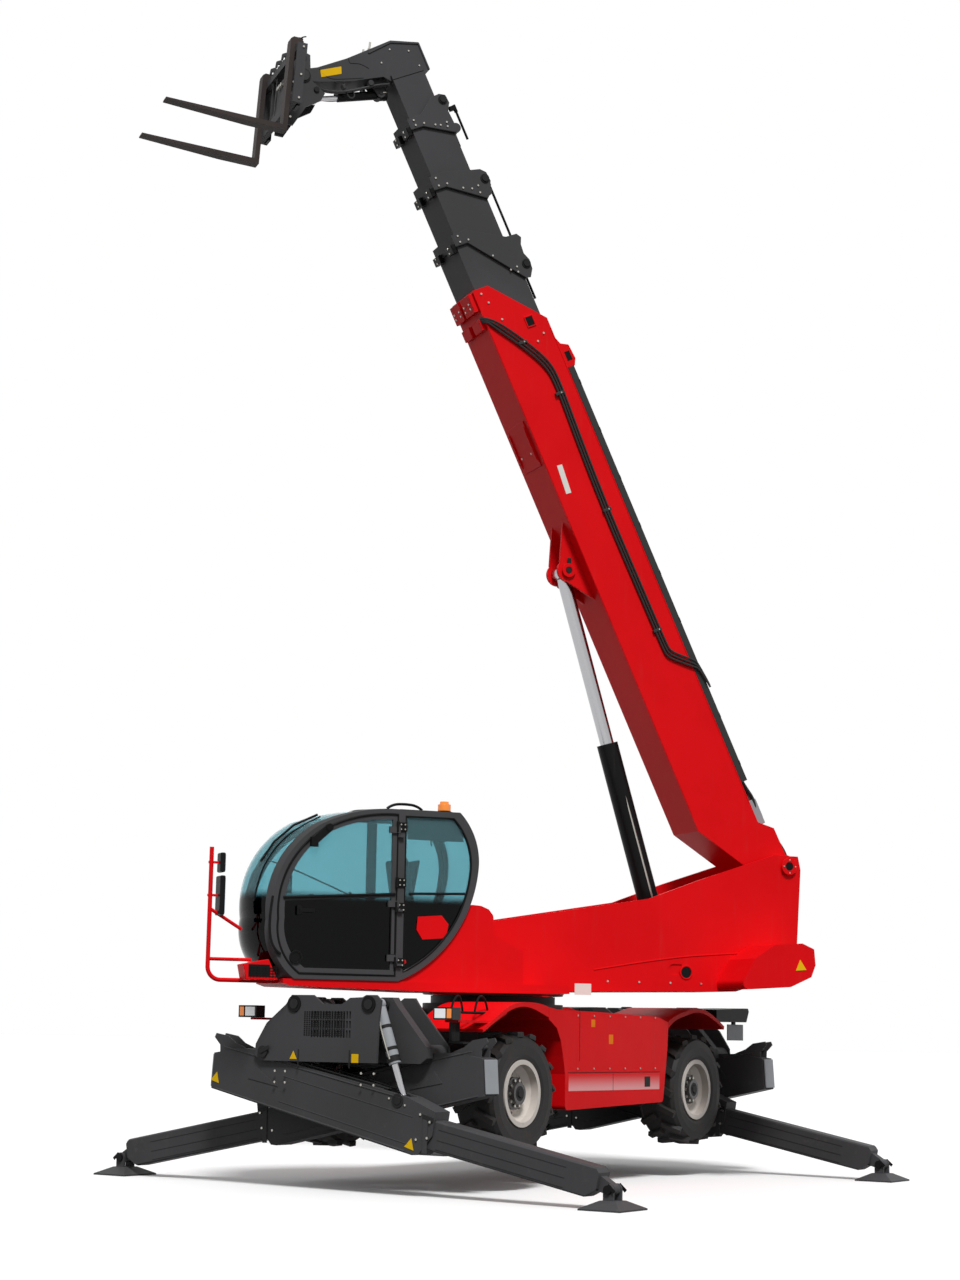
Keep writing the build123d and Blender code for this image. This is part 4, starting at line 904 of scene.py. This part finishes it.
def cabOutside(v, hinges, belt, rearBelt, wiper, handle):
    seals = Piece("doorSeal", "door", "black")
    for loop in openings("door", v):
        seals.tube(loop, 0.009, False)
    seals.tube([(u, v + 0.004, z) for u, z in belt], 0.013, False)
    seals.ring((2.45, v, 2.075), (0, 1, 0), 0.045, 0.062, 0.012)
    seals.drum((2.45, v - 0.002, 2.075), (2.45, v + 0.004, 2.075), 0.045)
    seals.box((2.23, v + 0.02, 3.21), (0.18, 0.04, 0.07), ("Y", 42)).box((2.31, v + 0.02, 3.13),
        (0.07, 0.05, 0.09))
    seals.drum((2.17, v + 0.01, 3.27), (2.17, v + 0.05, 3.27), 0.035)
    seals.box((2.36, v + 0.014, 2.50), (0.15, 0.022, 0.035)).box((2.43, v + 0.008, 2.50), (0.05, 0.02, 0.08))
    seals.done(0.003)
    sides = Piece("quarterSeal", "turret", "black")
    for loop in openings("cab_frame", v):
        sides.tube(loop, 0.010, False)
    sides.tube([(u, v + 0.004, z) for u, z in rearBelt], 0.012, False)
    sides.done()
    label = Piece("quarterBlankPlate", "turret", "red")
    label.plate([(0.98, 2.29), (1.22, 2.27), (1.28, 2.36), (1.27, 2.48), (1.03, 2.50), (0.96, 2.42)],
        v - 0.004, v).drum((1.40, v + 0.004, 2.06), (1.40, v + 0.012, 2.06), 0.02)
    label.done(0.001)
    leaves = Piece("hingePlates", "turret", "black")
    heads = Piece("hingeBolts", "turret", "zinc")
    for z in hinges:
        leaves.box((1.445, v + 0.007, z), (0.10, 0.014, 0.085))
        leaves.drum((1.49, v + 0.016, z - 0.05), (1.49, v + 0.016, z + 0.05), 0.014, segments=14)
        heads.bolts([(1.42 + 0.04 * a, v + 0.014, z - 0.022 + 0.044 * b) for a in (0, 1) for b in (0, 1)],
            (0, 1, 0), 0.008, 0.006)
    leaves.done(0.004)
    heads.done()
    wipe = Piece("frontWiper", "turret", "black")
    wipe.tube(onGlass([(u, 1.02, z) for u, z in wiper], 0.016), 0.008)
    wipe.tube(onGlass([(u, 0.98, z) for u, z in wiper[:4]], 0.030), 0.012, False)
    wipe.tube(onGlass([(u, 0.40, z) for u, z in wiper], 0.016), 0.008)
    wipe.done(0.004)
    rail = Piece("roofHandle", "turret", "black")
    rail.tube([(u, 1.12, z) for u, z in handle], 0.013)
    rail.tube([(2.60, 1.215, 2.10), (2.69, 1.235, 2.14), (2.73, 1.235, 2.40), (2.69, 1.215, 2.62)], 0.012)
    rail.done()
    gaps = Piece("roofSeams", "turret", "black")
    for side in (0.40, 1.14):
        gaps.tube([(1.45, side, 3.479), (1.1, side, 3.479), (0.92, side, 3.479)], 0.005, False)
    gaps.box((1.2, 0.77, 3.482), (0.42, 0.5, 0.012))
    gaps.done(0.004)


beaconSettings = {"u": 0.94, "v": 0.98, "low": 3.500, "radius": 0.060}


def beacon(u, v, low, radius):
    Piece("beaconBase", "turret", "black").ring((u, v, low - 0.018), (0, 0, 1), radius - 0.004,
        radius + 0.006, 0.02, 32).done(0.003)
    Piece("beaconDome", "turret", "amber").ring((u, v, low + 0.004), (0, 0, 1), radius - 0.005,
        radius + 0.003, 0.062, 32).done(0.004)


interiorSettings = {
    "seat": (1.60, 0.772, 2.36), "size": (0.42, 0.46, 0.12), "back": (1.29, 2.75), "sticks": (0.50, 1.045),
    "blind": [(0.80, 3.20), (1.37, 3.20), (1.40, 3.42), (0.90, 3.42)],
}


def cushion(name, centre, size, lean):  # a crowned closed form with two grooves pressed into its top
    mesh = bmesh.new()
    bmesh.ops.create_cube(mesh, size=1, matrix=Matrix.Diagonal((*size, 1)))
    bmesh.ops.subdivide_edges(mesh, edges=mesh.edges, cuts=7, use_grid_fill=True)
    for vert in mesh.verts:
        across, along = vert.co.x / size[0] * 2, vert.co.y / size[1] * 2
        crown = (1 - across ** 4) * (1 - along ** 4)
        vert.co.z *= 0.74 + 0.26 * crown
        flute = 0.006 * max(0, 1 - abs(abs(along) - 0.55) / 0.09)
        vert.co.z -= flute if vert.co.z > 0 else 0
    bmesh.ops.recalc_face_normals(mesh, faces=mesh.faces)
    data = bpy.data.meshes.new(name)
    mesh.to_mesh(data)
    mesh.free()
    data.transform(turretSpace @ Matrix.Translation(centre) @ Matrix.Rotation(radians(lean), 4, "Y"))
    data.materials.append(materials["fabric"])
    data.polygons.foreach_set("use_smooth", [True] * len(data.polygons))
    made = bpy.data.objects.new(name, data)
    scene.collection.objects.link(made)
    soft = made.modifiers.new("soft", "SUBSURF")
    soft.levels = soft.render_levels = 2
    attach(made, "turret")
    return made


def cabInterior(seat, size, back, sticks, blind):
    cushions = [cushion("seatCushion", seat, size, 0), cushion("seatBack", (back[0], seat[1], back[1]),
        (0.58, size[1] - 0.02, 0.11), -80)]
    for piece in cushions:
        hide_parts("seat")
    rest = Piece("seatFrame", "turret", "plastic")
    rest.box((seat[0] - 0.02, seat[1], 2.255), (0.34, 0.34, 0.07)).box((seat[0] - 0.02, seat[1], 2.17),
        (0.28, 0.28, 0.12))
    rest.box((1.235, seat[1], 2.72), (0.03, 0.38, 0.62), ("Y", -10))
    for side in (1, -1):
        rest.box((1.52, seat[1] + side * 0.262, 2.53), (0.34, 0.062, 0.05))
        rest.box((1.36, seat[1] + side * 0.262, 2.45), (0.04, 0.04, 0.18))
    rest.done(0.01)
    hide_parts("seat")
    levers = Piece("joysticks", "turret", "plastic")
    for v in sticks:
        levers.drum((1.69, v, 2.55), (1.69, v, 2.60), 0.030, 0.022, 16).drum((1.69, v, 2.60), (1.70, v, 2.66),
            0.011)
        levers.ball((1.705, v, 2.69), 0.027, (1, 1, 1.5))
    levers.tube([(0.9, 0.55, 3.20), (0.92, 0.55, 3.42)], 0.008, False)
    levers.box((2.40, 1.13, 2.52), (0.03, 0.02, 0.16))
    levers.done(0.002)
    Piece("rearBlind", "turret", "plastic").plate(blind, 1.150, 1.156).done(0.002)
    Piece("roofLining", "turret", "trim").box((1.30, 0.77, 3.425), (0.70, 0.70, 0.02)).done(0.006)
    Piece("displayGlass", "turret", "screen").box((2.305, 0.42, 2.78), (0.02, 0.12, 0.17),
        ("Z", 18)).done(0.003)


slewSkirt(**skirtSettings)
tailPieces(**tailSettings)
betweenCheeks(**cheekSettings)
deckPieces(**badgeSettings)
print("turret dressed")
cabOutside(**cabSettings)
beacon(**beaconSettings)
cabInterior(**interiorSettings)
print("cab dressed")


# chassis: x ahead, y left, z up from the ground
frontSettings = {
    "triangle": [(-0.458, 1.16), (-0.378, 1.16), (-0.418, 1.232)], "square": [(0.244, 1.14), (0.32, 1.14),
    (0.32, 1.217),
                                                                             (0.244, 1.217)],
    "grille": (-0.309, 0.164, 1.368, 1.592), "bosses": (-0.4212, 0.4212), "bossHeight": 1.655,
}


def frontPieces(triangle, square, grille, bosses, bossHeight):
    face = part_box("chassis_frame")[1][0]
    warn = Piece("frontBlankPlates", "chassis", "yellow")
    warn.plate(triangle, face - 0.001, face + 0.003, "X").plate(square, face - 0.001, face + 0.003, "X")
    warn.done()
    bars = Piece("frontGrille", "chassis", "black")
    y0, y1, z0, z1 = grille
    rows, columns = 12, 18
    for row in range(rows):
        for column in range(columns):
            y = y0 + (column + 0.5) * (y1 - y0) / columns
            z = z0 + (row + 0.5) * (z1 - z0) / rows
            bars.box((face + 0.0005, y, z), (0.004, (y1 - y0) / columns * 0.6, (z1 - z0) / rows * 0.6))
    for y in bosses:
        bars.ring((face, y, bossHeight), (1, 0, 0), 0.045, 0.075, 0.010, 28)
    bars.done()
    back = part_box("chassis_frame")[0][0]
    rear = Piece("rearPlates", "chassis", "black")
    for k in range(7):
        rear.box((back - 0.001, 0.0, 1.30 + 0.035 * k), (0.006, 0.40, 0.016))
    for y in bosses:
        rear.ring((back, y, bossHeight), (-1, 0, 0), 0.045, 0.075, 0.010, 28)
    rear.done(0.001)
    pins = Piece("frontBosses", "chassis", "dark")
    for y in bosses:
        pins.drum((face, y, bossHeight), (face + 0.018, y, bossHeight), 0.045)
    for y in (-0.36, 0.22):
        pins.box((face + 0.002, y, 1.17), (0.006, 0.012, 0.16))
    pins.done(0.002)
    heads = Piece("frontBolts", "chassis", "zinc")
    for y in (-0.62, -0.5, 0.36, 0.5):
        heads.bolts([(face, y, z) for z in (0.95, 1.05)], (1, 0, 0), 0.013, 0.010)
    heads.done()


pinSettings = {"hinge": 0.055, "ear": 0.045}


def legMountCaps(hinge, ear):
    caps = Piece("legMountPins", "chassis", "dark")
    for corner in corners:
        x, y, z = joints["leg_swing_" + corner]["pos_m"]
        earY, earZ = joints["leg_cylinder_swing_" + corner]["pos_m"][1:]
        for end in (1, -1):
            caps.drum((x + end * 0.148, y, z), (x + end * 0.168, y, z), hinge)
            caps.drum((x + end * 0.085, earY, earZ), (x + end * 0.108, earY, earZ), ear)
            caps.box((x + end * 0.172, y * 0.96, z + 0.02), (0.008, 0.12, 0.035), ("X", 25))
    caps.done(0.003)


lampSettings = {"z": 1.585, "white": 1.078, "amber": 1.176, "size": (0.012, 0.115, 0.085)}


def lampLenses(z, white, amber, size):
    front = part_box("headlamps")[1][0]
    clear = Piece("headlampLenses", "chassis", "lamp")
    turn = Piece("turnLampLenses", "chassis", "amber")
    rims = Piece("headlampRims", "chassis", "black")
    clear.pair("box", (front - 0.003, white, z), size)
    turn.pair("box", (front - 0.003, amber, z), (size[0], 0.05, size[2]))
    rims.pair("box", (front - 0.002, 1.145, z), (0.012, 0.006, size[2] + 0.01))
    for end in (1, -1):
        rims.pair("box", (front - 0.002, 1.11, z + end * 0.048), (0.012, 0.20, 0.008))
    clear.done(0.004)
    turn.done(0.004)
    rims.done(0.001)


hoopSettings = {"hoops": [[(2.22, 1.60), (2.20, 1.68), (2.12, 1.76), (2.06, 1.72), (2.03, 1.60)],
    [(1.84, 1.60), (1.82, 1.69), (1.75, 1.765), (1.66, 1.72), (1.62, 1.60)]], "y": 1.02}


def cableHoops(hoops, y):
    wires = Piece("cableHoops", "chassis", "black")
    for hoop in hoops:
        wires.tube([(x, y, z) for x, z in hoop], 0.010)
    wires.tube([(2.26, y, 1.60), (1.58, y, 1.60)], 0.012, False)
    wires.done()


bandSettings = {"x": (-1.28, 0.52), "z": (0.875, 1.065), "y": 1.195, "slot": (-1.06, -0.95)}


def sideBand(x, z, y, slot):
    panel = Piece("sideBand", "chassis", "band")
    dark = Piece("sideBandSlots", "chassis", "black")
    middle = (z[0] + z[1]) / 2
    panel.pair("box", ((x[0] + x[1]) / 2, y, middle), (x[1] - x[0] - 0.05, 0.014, z[1] - z[0] - 0.03))
    dark.pair("box", (sum(slot) / 2, y + 0.006, middle), (slot[1] - slot[0], 0.006, 0.10))
    dark.pair("box", (sum(x) / 2, y + 0.0015, z[1]), (x[1] - x[0] - 0.04, 0.012, 0.006))
    dark.pair("box", (-0.33, y + 0.007, middle), (0.006, 0.003, z[1] - z[0] - 0.03))
    dark.pair("box", (0.30, y + 0.001, 1.42), (0.006, 0.012, 0.5))
    panel.done(0.005)
    dark.done(0.001)
    marks = Piece("sideBlankPlates", "chassis", "orange")
    marks.pair("box", (0.05, y + 0.003, 1.53), (0.07, 0.006, 0.07))
    marks.pair("box", (-0.29, y + 0.003, 1.38), (0.08, 0.006, 0.09))
    marks.done(0.001)
    heads = Piece("sideBodyBolts", "chassis", "zinc")
    heads.pair("bolts", [(x[0] + 0.12 + 0.3 * k, y, 1.60) for k in range(6)], (0, 1, 0), 0.010, 0.012)
    heads.pair("bolts", [(x[0] + 0.12 + 0.3 * k, y, 1.10) for k in range(6)], (0, 1, 0), 0.010, 0.012)
    heads.done()


# underside: drive shafts from each axle towards the middle, and the axles' hoses
bellySettings = {"shaft": 0.055}


def belly(shaft):
    front, back = [joints["wheel_spin_" + corner]["pos_m"] for corner in ("front_left", "rear_left")]
    drive = Piece("driveShaft", "chassis", "dark")
    for axle, inward in ((front, -1), (back, 1)):
        x, height = axle[0], axle[2]
        drive.drum((x + inward * 0.20, 0, height), (x + inward * 0.34, 0, height + 0.01), 0.10, 0.075, 24)
        for step in (0.34, 0.44):
            drive.ring((x + inward * step, 0, height), (1, 0, 0), 0.03, 0.085, 0.02, 24)
        drive.drum((x + inward * 0.34, 0, height), (x + inward * 0.62, 0, height + 0.06), shaft)
        drive.ball((x + inward * 0.62, 0, height + 0.06), 0.075)
        drive.drum((x + inward * 0.62, 0, height + 0.06), (x + inward * 1.15, 0, height + 0.06), shaft)
    drive.done(0.003)
    lines = Piece("brakeHoses", "chassis", "hose")
    for axle in (front, back):
        inward = -1 if axle[0] > 0 else 1
        lines.pair("tube", [(axle[0] + inward * 0.12, 0.18, axle[2] + 0.12), (axle[0] + inward * 0.18, 0.35,
            axle[2] + 0.18), (axle[0] + inward * 0.16, 0.52, axle[2] + 0.16)], 0.010)
        lines.pair("tube", [(axle[0] + inward * 0.12, 0.15, axle[2] + 0.16), (axle[0] + inward * 0.22, 0.22,
            axle[2] + 0.32), (axle[0] + inward * 0.3, 0.2, axle[2] + 0.46)], 0.013)
    lines.done()


deckSettings = {"end": (-3.04, 0.95, 1.675), "hang": (-3.09, 1.105, 1.47), "tower": (2.07, 1.08, 1.33)}


def deckParts(end, hang, tower):
    steps = Piece("deckEnds", "chassis", "black")
    plates = Piece("deckPlates", "chassis", "pale")
    x, y, z = end
    steps.pair("plate", [(x - 0.24, z + 0.055), (x - 0.26, z + 0.02), (x - 0.20, z - 0.095),
        (x + 0.50, z - 0.095), (x + 0.50, z + 0.03), (x - 0.02, z + 0.05)], y - 0.22, y + 0.22)
    plates.pair("box", hang, (0.36, 0.012, 0.17))
    steps.pair("box", (hang[0], hang[1] - 0.02, hang[2] + 0.09), (0.06, 0.03, 0.10))
    x, y, z = tower
    steps.pair("box", (x, y - 0.12, z + 0.13), (0.14, 0.03, 0.28)).pair("box", (x + 0.02, y - 0.05, z),
        (0.14, 0.16, 0.025))
    steps.done(0.008)
    plates.done(0.002)
    lines = Piece("frontHydraulics", "chassis", "hose")
    for k in range(4):
        y = 0.34 + 0.06 * k
        lines.pair("tube", [(1.70, y, 1.40), (1.85, y, 1.46), (1.98, y, 1.40),
            (1.95, y * 1.02, 1.24 - 0.03 * k), (1.75, y, 1.18)], 0.014)
    lines.pair("tube", [(1.92, 0.58, 1.53), (2.0, 0.64, 1.48), (1.99, 0.68, 1.36), (1.92, 0.64, 1.22),
        (1.80, 0.58, 1.16)], 0.013)
    lines.done()


frontPieces(**frontSettings)
deckParts(**deckSettings)
legMountCaps(**pinSettings)
lampLenses(**lampSettings)
cableHoops(**hoopSettings)
sideBand(**bandSettings)
belly(**bellySettings)
print("chassis dressed")


# legs: s out along the beam, v across, t above the hinge
legSettings = {"half": 0.112, "pin": (1.551, -0.1), "mouth": 1.88, "marks": [(-0.53, -0.35), (1.76, -0.43)],
    "ridgeHeights": (-0.25, -0.34, -0.42)}


def legPieces(corner, half, pin, mouth, marks, ridgeHeights):
    swing, extend = "leg_" + corner, "leg_beam_" + corner
    tag = tagOf(corner)
    place = legSpace(corner)
    ribs = Piece("legRibs" + tag, swing, "grey", place)
    for side in (1, -1):
        # long stiffeners along the top and bottom edges of the side plate, and a gusset by the hinge
        ribs.tube([(-0.50, side * half, -0.452), (1.72, side * half, -0.505)], 0.009, False)
        ribs.tube([(-0.50, side * half, -0.06), (1.60, side * half, -0.068)], 0.007, False)
        ribs.tube([(0.25, side * half, -0.17), (1.74, side * half, -0.20)], 0.004, False)
        ribs.tube([(0.25, side * half, -0.40), (1.74, side * half, -0.44)], 0.004, False)
        ribs.plate([(-0.147, -0.279), (-0.0755, -0.155), (0.215, -0.275)], side * half, side * (half + 0.006))
        ribs.box((1.90, side * (half + 0.003), -0.31), (0.05, 0.010, 0.34), ("Y", -10))
    ribs.box((0.9, 0, -0.044), (0.9, 0.14, 0.010))
    ribs.done(0.003)
    Piece("legTailPlate" + tag, swing, "pale", place).box((-0.596, 0, -0.30), (0.016, 0.196, 0.30),
        ("Y", -7)).done(0.004)
    hook = Piece("legTailHook" + tag, swing, "grey", place)
    hook.pair("plate", [(-0.56, -0.138), (-0.58, -0.06), (-0.66, -0.005), (-0.65, 0.035), (-0.50, 0.04),
        (-0.40, -0.005), (-0.30, -0.02), (-0.22, -0.038), (-0.22, -0.10)], 0.075, 0.060)
    hook.drum((-0.545, -0.06, -0.03), (-0.545, 0.06, -0.03), 0.022)
    hook.done(0.002)
    heads = Piece("legBolts" + tag, swing, "zinc", place)
    heads.pair("bolts", [(mouth + 0.055, half + 0.006, t) for t in (-0.20, -0.34)], (0, 1, 0), 0.013, 0.010)
    heads.pair("bolts", [(mouth - 0.06, half, t) for t in (-0.16, -0.38)], (0, 1, 0), 0.013, 0.010)
    heads.pair("bolts", [(pin[0] - 0.09, half, pin[1]), (pin[0] + 0.09, half, pin[1] - 0.02)], (0, 1, 0),
        0.011, 0.009)
    heads.done()
    caps = Piece("legPins" + tag, swing, "dark", place)
    caps.pair("drum", (pin[0], half - 0.004, pin[1]), (pin[0], half + 0.011, pin[1]), 0.038)
    caps.pair("ring", (pin[0], half, pin[1]), (0, 1, 0), 0.040, 0.062, 0.007, 24)
    caps.pair("plate", [(1.84, -0.15), (1.96, -0.16), (1.965, -0.20), (1.85, -0.19)], half + 0.001,
        (half + 0.009))
    caps.done(0.002)
    if corner in ("front_left", "rear_right"):  # the outermost legs carry the marks
        warn = Piece("legBlankPlates" + tag, swing, "yellow", place)
        for s, t in marks:
            warn.plate([(s - 0.052, t - 0.038), (s + 0.05, t - 0.048), (s + 0.006, t + 0.048)], -half,
                -half - 0.003)
        warn.done()
    lines = Piece("legHoses" + tag, swing, "hose", place)
    lines.pair("tube", [(0.12, 0.075, -0.03), (0.3, 0.075, -0.018), (0.9, 0.08, -0.022), (1.30, 0.07, -0.026),
        (1.40, 0.05, -0.03)], 0.009)
    lines.done()
    low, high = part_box("leg_beam_" + corner)
    foot = joints["foot_tilt_" + corner]["pos_m"]
    span = place.inverted() @ Vector(foot)
    # the ridges are real; their darker colour is painted shade along them
    ridgeShadeLines = Piece("beamRidges" + tag, extend, "dark", place)
    for t in ridgeHeights:
        ridgeShadeLines.pair("tube", [(2.02, (high[0] - low[0]) / 2, t), (span.x - 0.42, (high[0] - low[0]) / 2, t)],
            0.003, False)
    ridgeShadeLines.done()
    pads = Piece("beamEnd" + tag, extend, "black", place)
    pads.pair("drum", (span.x, 0.080, span.z), (span.x, 0.098, span.z), 0.038)
    pads.pair("box", (span.x + 0.035, 0.094, span.z + 0.02), (0.085, 0.007, 0.03), ("Y", 30))
    pads.done(0.002)


for legCorner in corners:
    legPieces(legCorner, **legSettings)
print("legs dressed")


# cylinders: radius of the barrel and of its pipes
barrelSettings = {"leg": (0.058, 0.009), "lift": (0.085, 0.014), "tilt": (0.06, 0.009)}


def barrelPieces(tag, body, node, hinge, run, radius, pipe):
    low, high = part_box(node)
    hinge, run = Vector(hinge), Vector(run)
    farther = high if run.z > 0 else low
    length = (farther[2] - hinge.z) / run.z if abs(run.z) > 0.5 else (farther[0] - hinge.x) / run.x
    across = Vector((1, 0, 0)) if body.startswith("leg") else left
    pipes = Piece(tag + "Pipes", body, "zinc")
    lines = Piece(tag + "Hoses", body, "hose")
    gland = Piece(tag + "Gland", body, "dark")
    for share, wide in ((0.35, 1.04), (0.7, 1.04), (0.84, 1.05), (0.88, 1.08)):
        gland.ring(hinge + run * length * share, run, radius * 0.98, radius * wide, 0.03, 32)
    for k in (1, -1):
        offset = across * k * (radius + pipe * 1.2)
        start = min(0.16, length * 0.2)
        pipes.tube([hinge + run * start + offset * 0.8, hinge + run * (start + 0.05) + offset,
            hinge + run * length * 0.82 + offset, hinge + run * length * 0.88 + offset * 0.8], pipe)
        lines.tube([hinge + run * start + offset * 0.85, hinge + run * start * 0.5 + offset * 1.05,
            hinge + run * start * 0.1 + offset * 0.9], pipe * 1.2)
    gland.done(0.003)
    pipes.done()
    lines.done()


def dressBarrels(leg, lift, tilt):
    for corner in corners:
        tag = "leg" + tagOf(corner)
        barrelPieces(tag, "leg_cylinder_" + corner, "leg_barrel_" + corner,
            joints["leg_cylinder_swing_" + corner]["pos_m"], joints["leg_ram_slide_" + corner]["axis"], *leg)
    for kind, values in (("lift", lift), ("tilt", tilt)):
        barrelPieces(kind, kind + "_cylinder", kind + "_barrel", joints[kind + "_cylinder_swing"]["pos_m"],
            joints[kind + "_ram_slide"]["axis"], *values)


def wheelPieces(corner):
    tag = tagOf(corner)
    centre = Vector(joints["wheel_spin_" + corner]["pos_m"])
    low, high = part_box("rim_" + corner)
    side = 1 if corner.endswith("left") else -1
    face = high[1] if side > 0 else low[1]
    body = "wheel_" + corner
    y = face - side * 0.03
    hub = Piece("hubCap" + tag, body, "dark")
    hub.drum((centre.x, y - side * 0.06, centre.z), (centre.x, y, centre.z), 0.085, 0.07, 28)
    hub.drum((centre.x, y, centre.z), (centre.x, y + side * 0.012, centre.z), 0.045, 0.040, 6)
    hub.done(0.004)
    nuts = Piece("wheelNuts" + tag, body, "zinc")
    for k in range(10):
        turn = 2 * pi * k / 10
        spot = Vector((centre.x + 0.118 * cos(turn), y - side * 0.062, centre.z + 0.118 * sin(turn)))
        nuts.drum(spot, spot + Vector((0, side * 0.034, 0)), 0.015, segments=6)
    nuts.done()
    valve = Piece("tyreValve" + tag, body, "black")
    valve.tube([(centre.x + 0.17, y - side * 0.06, centre.z + 0.12), (centre.x + 0.18, y - side * 0.03,
        centre.z + 0.125), (centre.x + 0.185, y - side * 0.01, centre.z + 0.128)], 0.006)
    valve.done()


dressBarrels(**barrelSettings)
for wheelCorner in corners:
    wheelPieces(wheelCorner)
print("cylinders and wheels dressed")


# floor, background and light
stageSettings = {"size": 400, "seen": (250, 250, 250), "bounce": (58, 58, 59), "rough": 0.9}
lightSettings = {"sun": 2.8, "width": 13, "turn": (38, 0, 135), "sky": 0.46}


def seenRays(tree):  # 1 where the camera, a mirror or a pane looks straight at the surface
    path = tree.nodes.new("ShaderNodeLightPath")
    link = path.outputs["Is Camera Ray"]
    for other in ("Is Glossy Ray", "Is Transmission Ray"):
        highest = tree.nodes.new("ShaderNodeMath")
        highest.operation = "MAXIMUM"
        tree.links.new(link, highest.inputs[0])
        tree.links.new(path.outputs[other], highest.inputs[1])
        link = highest.outputs[0]
    return link


def makeFloor(size, seen, bounce, rough):
    mesh = bmesh.new()
    bmesh.ops.create_grid(mesh, x_segments=1, y_segments=1, size=size / 2)
    data = bpy.data.meshes.new("floor")
    mesh.to_mesh(data)
    mesh.free()
    floor = bpy.data.objects.new("floor", data)
    scene.collection.objects.link(floor)
    look = Shader("paleFloor")
    look.set(Base_Color=look.mix(Socket(look, seenRays(look.tree)), colour(*bounce), colour(*seen)),
        Roughness=rough)
    data.materials.append(look.material)


def lightScene(sun, width, turn, sky):
    data = bpy.data.lights.new("sun", "SUN")
    data.energy, data.angle = sun, radians(width)
    lamp = bpy.data.objects.new("sun", data)
    lamp.rotation_euler = [radians(angle) for angle in turn]
    scene.collection.objects.link(lamp)
    world = bpy.data.worlds.new("sky")
    world.use_nodes = True
    scene.world = world
    tree = world.node_tree
    background = tree.nodes["Background"]
    background.inputs["Color"].default_value = (1, 1, 1, 1)
    blend = tree.nodes.new("ShaderNodeMapRange")
    tree.links.new(seenRays(tree), blend.inputs["Value"])
    blend.inputs["To Min"].default_value = sky
    tree.links.new(blend.outputs["Result"], background.inputs["Strength"])


makeFloor(**stageSettings)
lightScene(**lightSettings)
scene.view_settings.view_transform = "Standard"
print("floor and light made")
